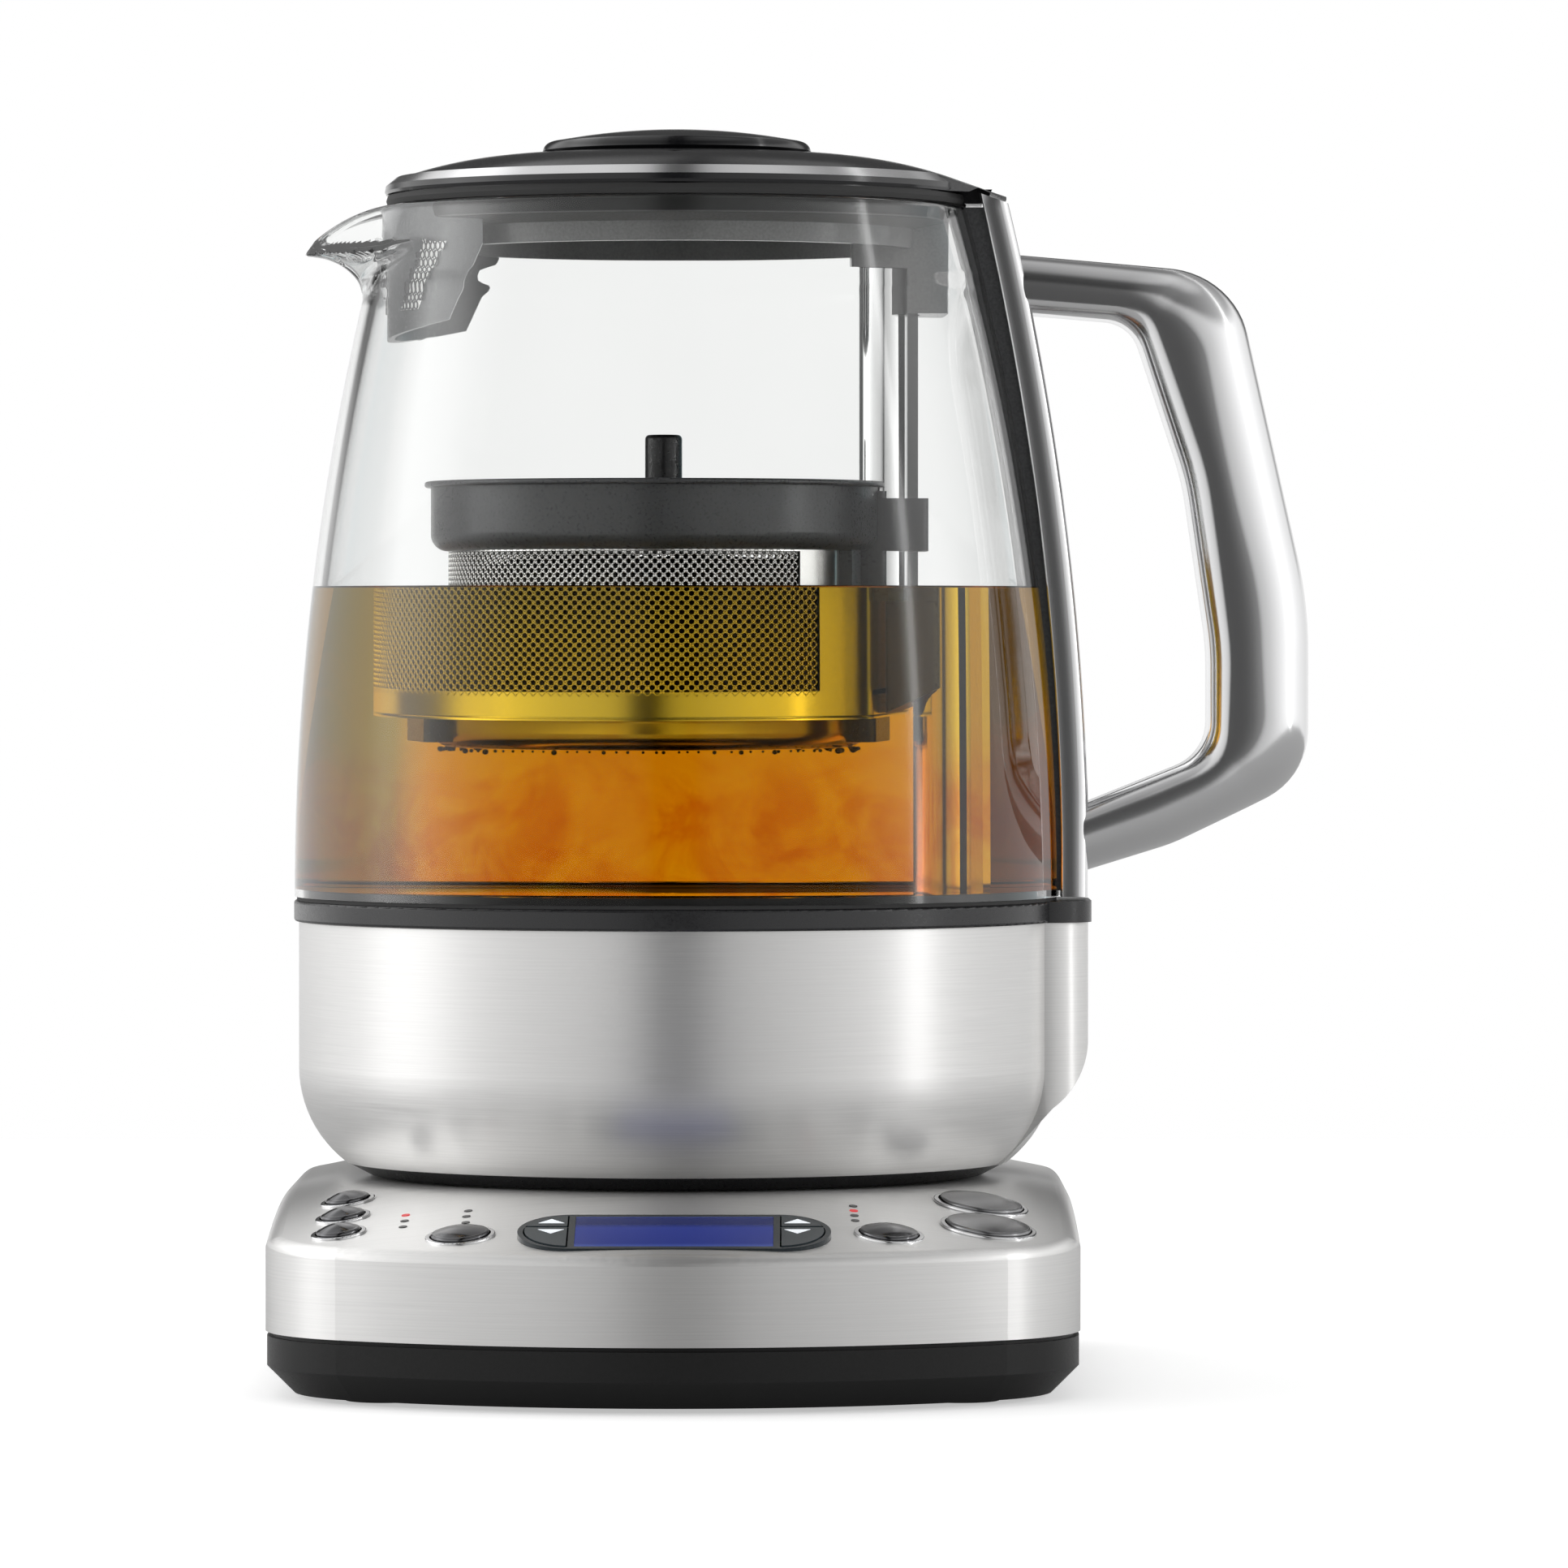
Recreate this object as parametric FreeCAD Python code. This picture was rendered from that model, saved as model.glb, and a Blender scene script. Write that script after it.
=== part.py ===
"""Automatic tea maker: a glass jug with a motor-lifted tea basket, standing on a powered base.

Millimetres.  The origin lies on the worktop under the jug's vertical axis.
+X points to the handle, -X to the spout, -Y to the control panel and +Z up.
"""

import FreeCAD, Part
import math
import os

# ---------------------------------------------------------------- clearances
RUN = 0.3            # between pieces that move past each other
FIT = 0.05           # between pieces that are assembled and stay put
SHAFT = 0.05         # radial play of the lift screw in its bores
REACH = 400.0        # longer than anything here, for cutting tools
PUNCH = 8.0          # half length of the tools that pierce the control panel

# ---------------------------------------------------------------- power base
BASE_HALF_WIDTH = 82.7
BASE_FRONT_R = 118.0         # the front edge is an arc about the jug axis
BASE_BACK = 98.0             # straight rear edge
BASE_CORNER_R = 36.0
BASE_TOP_Z = 41.0            # level top that the jug stands over
LEVEL_TOP_R = 71.4           # the level top is this wide about the jug axis
LEVEL_TOP_RUN = 50.0         # and is carried back this far
PANEL_DROP = 9.4             # from the level top down to the panel's front edge
PANEL_FRONT_Z = BASE_TOP_Z - PANEL_DROP
PANEL_SLOPE = math.degrees(math.atan(PANEL_DROP / (BASE_FRONT_R - LEVEL_TOP_R)))
PANEL_CORNER = math.degrees(math.asin(BASE_HALF_WIDTH / BASE_FRONT_R))
FRONT_EDGE_R = 2.5           # rounding along the panel's front edge
CREST_R = 30.0               # rounding from the level top into the panel
SHOULDER_R = 4.5             # rounding along the sides and back
SHOULDER_RUN_OUT = 7.0       # the wide rounding dies out this far past the front
SHELL_BOTTOM_Z = 13.5
SHELL_WALL = 1.6

TRAY_BOTTOM_Z = 1.0
GROOVE = 0.9                 # height of the shadow groove under the shell
TRAY_RIM_Z = SHELL_BOTTOM_Z - GROOVE
TRAY_INSET = 0.3
TRAY_CHAMFER = 5.5
TRAY_WALL = 2.2
GROOVE_INSET = 1.4
TONGUE_HEIGHT = 4.5
TONGUE_WALL = 1.5

FOOT_R = 8.0
FOOT_X = 58.0
FOOT_FRONT_Y = -78.0
FOOT_BACK_Y = 72.0

BOSS_R = 4.2
SCREW_R = 1.5
SCREW_HEAD_R = 2.9
SCREW_HEAD_H = 1.8
SMALL_SCREW_R = 1.1
SMALL_HEAD_R = 2.4
SMALL_HEAD_H = 1.2
SMALL_SCREW_BITE = 5.0
BASE_SCREW_X = BASE_HALF_WIDTH - 13.0
BASE_SCREW_DEPTH = 88.0      # from the base's front edge to its front screws
BASE_SCREW_FRONT_Y = BASE_SCREW_DEPTH - BASE_FRONT_R
BASE_SCREW_BACK_Y = 58.0

CONNECTOR_FLANGE_R = 20.0
CONNECTOR_FLANGE_THICK = 3.0
SUMP_WALL = 3.0              # of the tray's round wall under the connector
CONNECTOR_R = 13.0
CONNECTOR_TOP_Z = BASE_TOP_Z + 12.0
CONNECTOR_PIN_R = 3.0
CONNECTOR_GROOVE_R = 9.0
CONNECTOR_GROOVE = 8.0       # depth of the ring groove round the pin

GLAND_Z = 7.4
GLAND_R = 4.4
GLAND_BORE_R = 3.2
GLAND_FLANGE_R = 5.2
GLAND_PROUD = 2.0
GLAND_INSIDE = 8.0

RELAY_BOARD_Z = 9.0
RELAY_BOARD_HALF_X = 48.0
RELAY_BOARD_FRONT_Y = 38.0
RELAY_BOARD_BACK_Y = 82.0
RELAY = (-30.0, -10.0, 10.0, 26.0, 15.0)     # across, from the board's front edge, and height
TRANSFORMER = (8.0, 34.0, 8.0, 30.0, 18.0)
POST_R = 3.2

# ------------------------------------------------------------- control panel
# Panel frame: x across, v up the slope from the front edge, w outwards.  It is turned
# about the jug axis by a turn, which is 0 at the middle of the front and 1 at the
# panel's right corner.
BOARD_THICK = 1.6
BOARD_Z = 18.0               # underside of the level control board
BOARD_EDGE = 6.0             # board edge inside the base outline
BOARD_DEPTH = 74.0           # from the base's front to the board's rear edge
BOARD_POSTS = [(-0.89, 38.6), (0.93, 44.4), (-0.38, 38.3), (0.36, 40.8)]    # (turn, from the front)

TRAVEL = 0.9                 # of every push button
CAP_PROUD = 2.2
CAP_DOME = 1.0
CAP_EDGE_R = 0.6
RING_PROUD = 0.5
RING_LIP = 0.9
SLEEVE_WALL = 0.5
SLEEVE_BOTTOM_W = -2.4
FLANGE_GROW = 0.7
FLANGE_THICK = 1.0
STEM_R = 1.6
SWITCH_SIDE = 6.0
SWITCH_HEIGHT = 3.5
PLUNGER_R = 1.7
PLUNGER_HEIGHT = 0.8

SMALL_CAP_R = 4.5
SELECT_CAP_R = 5.9
LARGE_CAP_R = 8.6
# name: (turn, v, cap radius)
PUSH_BUTTONS = {
    "start_button": (-1.180, 34.5, SMALL_CAP_R),
    "warm_button": (-1.002, 23.0, SMALL_CAP_R),
    "basket_button": (-0.874, 11.3, SMALL_CAP_R),
    "tea_select_button": (-0.530, 12.8, SELECT_CAP_R),
    "strength_select_button": (0.553, 13.8, SELECT_CAP_R),
    "hot_water_button": (1.052, 32.7, LARGE_CAP_R),
    "tea_button": (0.865, 16.0, LARGE_CAP_R),
}

DISPLAY_X = 0.6
DISPLAY_V = 18.4
DISPLAY_HALF_X = 31.3
DISPLAY_HALF_V = 13.0
BEZEL_PROUD = 0.2
BEZEL_BOTTOM_W = -2.6
WINDOW_HALF_X = 19.75
WINDOW_HALF_V = 11.3
WINDOW_MARGIN = 0.8
WINDOW_THICK = 1.4
MODULE_BOTTOM_W = -7.0
KEY_MARGIN = 1.4             # bezel left around the key pads
KEY_SPLIT_V = 3.0            # the keys part this far above the display's middle
KEY_SPLIT = 0.5              # half the bezel bar between the upper and lower key
KEY_INNER_X = 21.4
KEY_PROUD = 0.4
KEY_CAP_BOTTOM_W = -3.0

LIGHT_R = 0.85
LIGHT_BODY_R = 1.3
LIGHT_PROUD = 0.15
LIGHT_SEAT_W = -1.8          # the wider body stops just under the shell's wall
LIGHT_BOTTOM_W = -7.0
LIGHTS = [                   # (turn, v); the first of each group is lit
    (-0.816, 27.3), (0.569, 33.1),
    (-0.775, 23.0), (-0.739, 18.6),
    (-0.643, 32.4), (-0.614, 28.1), (-0.582, 23.5),
    (0.593, 36.6), (0.546, 29.4), (0.524, 25.5),
]

# ----------------------------------------------------------------- jug, below
FOOT_LEDGE = 3.0             # of the foot's flange on the skirt's turned-in edge
FOOT_RING_WIDTH = 8.0
FOOT_DRAW_IN = 1.5           # of the foot's lower edge
FOOT_RING_Z = BASE_TOP_Z + 0.6
FOOT_FLOOR_Z = FOOT_RING_Z + 2.4
FOOT_FLOOR_THICK = 2.4
SOCKET_R = 21.0
SOCKET_TOP_Z = CONNECTOR_TOP_Z + 5.0
SOCKET_FLANGE = 3.0
SOCKET_FLANGE_THICK = 2.5
HUB_WALL = 2.5

SKIRT_R = 79.4
SKIRT_WALL = 1.2
SKIRT_BOTTOM_Z = FOOT_FLOOR_Z + 0.2
SKIRT_CURVE_Z = SKIRT_BOTTOM_Z + 19.8    # the lower curve starts here
SKIRT_CURVE_R = 25.0
SKIRT_TOP_Z = SKIRT_BOTTOM_Z + 50.4
BUMP_X = SKIRT_R + 6.7       # the skirt swells out under the handle
BUMP_RISES = (11.8, 18.6, 27.8)      # where its underside leaves the round body, bends and is upright
BUMP_HALF_WIDTH = 20.5
BUMP_CORNER_R = 10.0
BAND_LIP = 1.0               # the band stands out past the skirt
BAND_TOP_Z = SKIRT_TOP_Z + 4.4
BAND_TONGUE = 5.0

PLATE_TOP_Z = BAND_TOP_Z + 1.0
PLATE_THICK = 1.5
PLATE_FLANGE = 8.0
ELEMENT_EDGE = 23.5          # from the plate's edge to the middle of the heating element
ELEMENT_WIDTH = 7.0
ELEMENT_OPEN = 70.0          # degrees left open on the handle side
SENSOR_X = -20.0
SENSOR_R = 7.0
SENSOR_HEIGHT = 5.0
JUG_BOSS_ANGLES = (60.0, 180.0, 300.0)
FOOT_SCREW_LENGTH = 16.0

# ----------------------------------------------------------------- glass jug
GLASS_R = SKIRT_R + 0.9      # outer radius at the foot of the glass
GLASS_CURVE_R = 550.0        # radius of the wall's upright curve
GLASS_CURVE_Z = PLATE_TOP_Z  # the wall is upright here
GLASS_BOTTOM_Z = BAND_TOP_Z + 0.8
GLASS_WALL = 3.0
GLASS_HEIGHT = 144.3
RIM_Z = GLASS_BOTTOM_Z + GLASS_HEIGHT
RIM_R = GLASS_R - GLASS_CURVE_R + math.sqrt(GLASS_CURVE_R ** 2 - (RIM_Z - GLASS_CURVE_Z) ** 2)
PLATE_GAP = 1.8              # between the glass and the heating plate
PLATE_R = GLASS_R - GLASS_WALL - PLATE_GAP
ELEMENT_R = PLATE_R - ELEMENT_EDGE
RIM_EDGE_R = 1.2

SPOUT_REACH = GLASS_R - 2.3
SPOUT_NOSE_R = 7.0
SPOUT_TIP_Z = RIM_Z - 10.1
SPOUT_ROOT_Z = SPOUT_TIP_Z - 10.0
SPOUT_WALL = 2.6
SPOUT_SINK = 1.2             # the spout's sides start this deep inside the glass wall

# ------------------------------------------------------------- handle, strap
STRAP_HALF_WIDTH = 13.0
STRAP_EDGE_R = 2.0
STRAP_GAPS = (0.1, 1.15, 3.0)        # from glass to strap at its foot, its middle and its top
STRAP_THICKS = (5.6, 5.8, 5.4)       # of the strap at the same places
STRAP_STRAIGHT = 22.2                # the strap's outer face is upright up to this height
STRAP_MIDDLE = 84.2                  # height of its middle over the foot of the glass
STRAP_ABOVE_RIM = 0.5
STRAP_TOP_SLANT = 2.1                # its cut end rises by this towards the glass
LINER_HALF_WIDTH = 11.0
HANDLE_HALF_WIDTH = 13.0
HANDLE_EDGE_R = (11.0, 5.0)          # rounding outside and inside the grip
HANDLE_SECTIONS = 26
# Side view of the handle: (past the foot of the glass, above it, corner radius), from
# the upper root to the lower one.
HANDLE_OUTER = [
    (-12.3, 134.6, 0.0), (36.7, 130.4, 18.0), (52.3, 61.2, 90.0), (52.3, 24.7, 16.0),
    (23.7, 11.0, 40.0), (-0.3, 3.6, 0.0)]
HANDLE_INNER = [
    (-12.3, 122.6, 0.0), (15.1, 120.2, 8.0), (26.0, 87.2, 60.0), (31.1, 52.2, 60.0),
    (31.1, 29.8, 10.0), (-0.3, 17.2, 0.0)]
STRAP_SCREWS = [(126.2, 5.3), (12.2, 2.8)]    # height over the foot, and how far off the glass
STRAP_SCREW_LENGTH = 11.0
STRAP_SCREW_R = 1.8
STRAP_HEAD_R = 3.0
STRAP_HEAD_HEIGHT = 2.0

# ---------------------------------------------------------------- lift column
COLUMN_X = 43.3
COLUMN_WIDTH = 10.2
COLUMN_DEPTH = 14.0
COLUMN_EDGE_R = 5.0
COLUMN_WALL = 1.0
RAIL_X = COLUMN_X + 7.3      # outer edge of the guide rail on the column's handle side
RAIL_HALF_WIDTH = 2.6
COLUMN_TOP_Z = RIM_Z - 14.6
COLUMN_CAP_THICK = 1.5
COLUMN_PLUG = 4.0
COLUMN_SEAL_HEIGHT = 2.5
SCREW_SHAFT_R = 2.5
SCREW_BOTTOM_Z = PLATE_TOP_Z - 12.0
CARRIAGE_HEIGHT = 22.0
GEARBOX_BOTTOM_Z = SCREW_BOTTOM_Z - 4.0
GEARBOX_HALF_WIDTH = 12.5
GEARBOX_HALF_DEPTH = 14.0
MOTOR_R = 9.0
MOTOR_LENGTH = 30.0

# ----------------------------------------------------------------- tea basket
BASKET_X = -4.5
BASKET_LIP_R = 48.5
BASKET_RIM_R = BASKET_LIP_R - 1.3
BASKET_RIM_WALL = 2.0
BASKET_RIM_TOP_Z = PLATE_TOP_Z + 86.5
BASKET_RIM_BOTTOM_Z = BASKET_RIM_TOP_Z - 14.5
BASKET_RIM_CURVE = 3.5
BASKET_LIP_THICK = 1.2
LID_REST = 0.4               # height left under the basket's lid
CUP_R = BASKET_RIM_R - 3.7
CUP_WALL = 0.8
CUP_BACK_X = COLUMN_X - 9.5
CUP_BOTTOM_Z = BASKET_RIM_TOP_Z - 49.5
DISH_R = CUP_R - 13.0
DISH_DEPTH = 7.0
DISH_EDGE_R = 3.5
CLIP_DEPTH = 5.0             # of the dish's hinge and catch below the cup
CLIP_LENGTH = 6.8
CLIP_HALF_WIDTH = 9.0
ARM_X = CUP_BACK_X + 0.6
ARM_END_X = ARM_X + 9.5
ARM_EDGE_R = 1.2
LOOP_END_X = RAIL_X + 2.0
LOOP_WALL = 1.6
LOOP_TOP_Z = BASKET_RIM_TOP_Z - 3.5
ARM_RISE = 5.2               # the arm's lower end slants up by this much away from the cup
BASKET_LID_THICK = 1.6
BASKET_LID_KNOB_X = BASKET_X + 1.7
BASKET_LID_KNOB_R = 3.9
BASKET_LID_KNOB_HEIGHT = 9.9
CARRIAGE_Z = BASKET_RIM_TOP_Z - 36.5
MAGNET_Z = CARRIAGE_Z + 2.0
MAGNET_HEIGHT = 16.0
SKIN = 0.6                   # plastic left over the magnet's two faces

# ------------------------------------------------------------------------ lid
LID_R = RIM_R + 0.2
LID_PLATE_Z = RIM_Z + 0.3
LID_PLATE_THICK = 2.0
LID_EDGE_Z = LID_PLATE_Z + LID_PLATE_THICK + 0.3
LID_EDGE_HEIGHT = 1.8
LID_EDGE_LAND = 2.3          # step under the edge, and the ring's full width
LID_EDGE_WIDTH = 6.3
LID_TRIM_Z = LID_EDGE_Z + LID_EDGE_HEIGHT
LID_TRIM_TOP_Z = LID_TRIM_Z + 1.8
LID_TRIM_TOP_R = LID_R - 2.4
LID_TRIM_THICK = 1.2
LID_DOME_RISE = 4.7
LID_DOME_Z = LID_TRIM_TOP_Z + LID_DOME_RISE
LID_DOME_R = 30.0
LID_SHELL = 2.0
LID_PLUG_R = RIM_R - GLASS_WALL - 0.9
LID_PLUG_Z = LID_PLATE_Z - 3.9
LID_SKIRT_R = LID_PLUG_R - 7.2
LID_SKIRT_Z = LID_PLUG_Z - 5.5
LID_SKIRT_WALL = 2.0
KNOB_R = LID_DOME_R - 1.8
KNOB_EDGE_Z = LID_DOME_Z + 3.0
KNOB_TOP_Z = KNOB_EDGE_Z + 2.5
TAIL_X = LID_R + 7.6
TAIL_DROP = 4.0              # from the trim's top down to the tail's end
TAIL_THICK = 1.1
TAIL_HALF_WIDTH = 13.5
TAIL_ROOT_X = LID_R - 6.8
TAIL_ROOT_HALF_WIDTH = 24.0
TAIL_ROOT = 6.5              # it reaches this far in under the cover
FILTER_R = 43.0
FILTER_X = FILTER_R + 0.3 - LID_R    # centre of the filter's curved wall
FILTER_WALL = 1.6
FILTER_MESH = 0.4
FILTER_DEPTH = 28.6          # below the lid's plate
FILTER_RUNS = (-1.0, 15.0, 22.0)     # from its front: where its lower edge starts, bends and ends
FILTER_TURN = 38.0           # degrees between its three windows
WINDOW_WIDTH = 4.6
WINDOW_LENGTH = 15.6
WINDOW_DEPTH = 16.0          # of the windows' middles below the lid's plate
WINDOW_LEAN = 33.0           # degrees; the side windows lean towards the spout
BRACKET_X = COLUMN_X - 6.8
BRACKET_STEP_X = COLUMN_X + 4.7
BRACKET_END_X = LID_PLUG_R - 0.6
BRACKET_HALF_WIDTH = COLUMN_DEPTH / 2 + 3.5
BRACKET_Z = COLUMN_TOP_Z + 0.5
BRACKET_LOW_Z = COLUMN_TOP_Z - 8.0
LID_SCREW_AT = LID_SKIRT_R - 10.0


# ------------------------------------------------------------- drawing helpers
def vec(x, y, z):
    return FreeCAD.Vector(x, y, z)


def box(x0, x1, y0, y1, z0, z1):
    return Part.makeBox(x1 - x0, y1 - y0, z1 - z0, vec(x0, y0, z0))


def disc(r, z0, z1, x=0.0, y=0.0):
    return Part.makeCylinder(r, z1 - z0, vec(x, y, z0))


def tube(r_out, r_in, z0, z1, x=0.0, y=0.0):
    return disc(r_out, z0, z1, x, y).cut(disc(r_in, z0, z1, x, y))


def rod_x(r, x0, x1, z):
    return Part.makeCylinder(r, x1 - x0, vec(x0, 0.0, z), vec(1, 0, 0))


def rod_y(r, y0, y1, z):
    return Part.makeCylinder(r, y1 - y0, vec(0.0, y0, z), vec(0, 1, 0))


def oval(half_x, half_y, z0, z1, x=0.0, y=0.0):
    """An upright elliptical plug, or a round one where both halves are equal."""
    if half_x == half_y:
        return disc(half_x, z0, z1, x, y)
    centre = vec(x, y, z0)
    edge = Part.Ellipse(centre, max(half_x, half_y), min(half_x, half_y)).toShape()
    if half_y > half_x:
        edge.rotate(centre, vec(0, 0, 1), 90.0)
    return Part.Face(Part.Wire([edge])).extrude(vec(0, 0, z1 - z0))


def upright_edges(shape):
    def upright(edge):
        run = edge.Vertexes[-1].Point - edge.Vertexes[0].Point
        return run.Length > RUN and abs(run.z) > 0.999 * run.Length
    return [edge for edge in shape.Edges if upright(edge)]


def edges_at(shape, z):
    """The edges that lie wholly at one height."""
    return [e for e in shape.Edges if abs(e.BoundBox.ZMin - z) < 0.01 and abs(e.BoundBox.ZMax - z) < 0.01]


def rounded_block(x0, x1, y0, y1, z0, z1, r):
    block = box(x0, x1, y0, y1, z0, z1)
    return block.makeFillet(r, upright_edges(block))


def outline(start, *steps):
    """A closed wire in the XZ plane: (x, z) draws a line, (mx, mz, x, z) an arc through (mx, mz)."""
    edges = []
    here = vec(start[0], 0.0, start[1])
    for step in steps + (start,):
        there = vec(step[-2], 0.0, step[-1])
        if len(step) == 4:
            edges.append(Part.Arc(here, vec(step[0], 0.0, step[1]), there).toShape())
        elif (there - here).Length > 1e-6:
            edges.append(Part.makeLine(here, there))
        here = there
    return Part.Wire(edges)


def domed(r, z_edge, z_top):
    """The arc step of a spherical dome, from its edge to its top on the axis."""
    sphere = (r ** 2 + (z_top - z_edge) ** 2) / (2 * (z_top - z_edge))
    return r / 2, z_top - sphere + math.sqrt(sphere ** 2 - r ** 2 / 4), 0.0, z_top


def turned(wire, angle=360.0):
    return Part.Face(wire).revolve(vec(0, 0, 0), vec(0, 0, 1), angle)


def slab_y(wire, half_width):
    """An XZ outline made solid across the middle plane."""
    solid = Part.Face(wire).extrude(vec(0, 2 * half_width, 0))
    solid.translate(vec(0, -half_width, 0))
    return solid


def rounded_path(corners):
    """Edges in the XZ plane through (x, z, radius) corners: straight runs and tangent arcs."""
    points = [vec(x, 0.0, z) for x, z, _ in corners]
    edges = []
    here = points[0]
    for index in range(1, len(points) - 1):
        corner = points[index]
        to_last = (points[index - 1] - corner).normalize()
        to_next = (points[index + 1] - corner).normalize()
        half = to_last.getAngle(to_next) / 2
        trim = corners[index][2] / math.tan(half)
        middle = (to_last + to_next).normalize()
        bow = corners[index][2] / math.sin(half) - corners[index][2]
        begin = corner + to_last * trim
        end = corner + to_next * trim
        edges.append(Part.makeLine(here, begin))
        edges.append(Part.Arc(begin, corner + middle * bow, end).toShape())
        here = end
    edges.append(Part.makeLine(here, points[-1]))
    return edges


def union(first, *others):
    return first.fuse(list(others)).removeSplitter()


def group(shapes):
    return Part.makeCompound(list(shapes))


# ---------------------------------------------------------------- power base
def base_prism(inset, z0, z1, run_out=0.0):
    """A slice of the base's plan outline, drawn in by an even inset; run_out moves its front out."""
    half = BASE_HALF_WIDTH - inset
    front = BASE_FRONT_R - inset + run_out
    back = BASE_BACK - inset
    side_y = -math.sqrt(front ** 2 - half ** 2)
    corners = [vec(half, side_y, z0), vec(half, back, z0), vec(-half, back, z0), vec(-half, side_y, z0)]
    edges = [Part.makeLine(a, b) for a, b in zip(corners, corners[1:])]
    edges.append(Part.Arc(corners[3], vec(0, -front, z0), corners[0]).toShape())
    prism = Part.Face(Part.Wire(edges)).extrude(vec(0, 0, z1 - z0))
    return prism.makeFillet(BASE_CORNER_R - inset, upright_edges(prism))


def on_panel(shape, turn=0.0):
    """Carry a shape from the panel frame at a turn to its place on the base."""
    lean = FreeCAD.Rotation(vec(1, 0, 0), PANEL_SLOPE)
    tilt = FreeCAD.Placement(vec(0, -BASE_FRONT_R, PANEL_FRONT_Z), lean)
    swing = FreeCAD.Placement(vec(0, 0, 0), FreeCAD.Rotation(vec(0, 0, 1), turn * PANEL_CORNER))
    moved = shape.copy()
    moved.Placement = swing.multiply(tilt).multiply(moved.Placement)
    return moved


def crown(inset, z0):
    """The level top and the panel that falls away round it: half a cone, carried back, and half a cone."""
    slope = math.tan(math.radians(PANEL_SLOPE))
    edge_z = PANEL_FRONT_Z - inset / math.cos(math.radians(PANEL_SLOPE))
    top_z = BASE_TOP_Z - inset
    top_r = BASE_FRONT_R - (top_z - edge_z) / slope
    far_r = BASE_FRONT_R + BASE_CORNER_R
    far_z = edge_z - BASE_CORNER_R * slope
    back = turned(outline((0.0, z0), (far_r, z0), (far_r, far_z), (top_r, top_z), (0.0, top_z)), 180.0)
    front = back.copy()
    front.rotate(vec(0, 0, 0), vec(0, 0, 1), 180.0)
    back.translate(vec(0, LEVEL_TOP_RUN, 0))
    section = outline(
        (-far_r, z0), (far_r, z0), (far_r, far_z), (top_r, top_z), (-top_r, top_z), (-far_r, far_z))
    run = Part.Face(section).extrude(vec(0, LEVEL_TOP_RUN, 0))
    whole = union(front, run, back)
    return whole.makeFillet(CREST_R - inset, edges_at(whole, top_z))


def crowned_block(inset, z0, edge_r, run_out=0.0):
    """The plan outline under the crown, with its upper edge rounded."""
    block = base_prism(inset, z0, BASE_TOP_Z + BASE_CORNER_R, run_out).common(crown(inset, z0))
    core = base_prism(inset + FIT, z0, BASE_TOP_Z + BASE_CORNER_R, run_out)

    def on_rim(edge):
        middle = edge.valueAt((edge.FirstParameter + edge.LastParameter) / 2)
        return edge.BoundBox.ZMin > z0 + 1.0 and not core.isInside(middle, FIT / 10, True)
    return block.makeFillet(edge_r - inset, [edge for edge in block.Edges if on_rim(edge)])


def base_form(inset, z0):
    """The steel shell's outer form, drawn in by an even inset: crisp in front, full at the shoulders."""
    crisp = crowned_block(inset, z0, FRONT_EDGE_R)
    return crisp.common(crowned_block(inset, z0, SHOULDER_R, SHOULDER_RUN_OUT))


def screw_places():
    for x in (-BASE_SCREW_X, BASE_SCREW_X):
        for y in (BASE_SCREW_FRONT_Y, BASE_SCREW_BACK_Y):
            yield x, y


def tray_floor_z():
    return TRAY_BOTTOM_Z + TRAY_WALL


def base_shell():
    shell = base_form(0.0, SHELL_BOTTOM_Z).cut(base_form(SHELL_WALL, SHELL_BOTTOM_Z - 1))
    inside = base_form(SHELL_WALL / 2, 0.0)
    bosses = [disc(BOSS_R, tray_floor_z(), BASE_TOP_Z, x, y).common(inside) for x, y in screw_places()]
    shell = union(shell, *bosses)
    pilots = [disc(SCREW_R, 0.0, SHELL_BOTTOM_Z, x, y) for x, y in screw_places()]
    grow = RUN + SLEEVE_WALL + FIT
    deep, high = -PUNCH, PUNCH
    holes = [on_panel(disc(r + grow, deep, high, 0, v), turn) for turn, v, r in PUSH_BUTTONS.values()]
    holes += [on_panel(disc(LIGHT_R + FIT, deep, high, 0, v), turn) for turn, v in LIGHTS]
    holes.append(on_panel(display_oval(FIT, deep, high)))
    well = disc(CONNECTOR_FLANGE_R + FIT, 0.0, REACH)
    return shell.cut(pilots + holes + [well])


def tray_block(inset, z0, z1):
    block = base_prism(inset, z0, z1)
    return block.makeChamfer(TRAY_CHAMFER, edges_at(block, z0))


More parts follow.
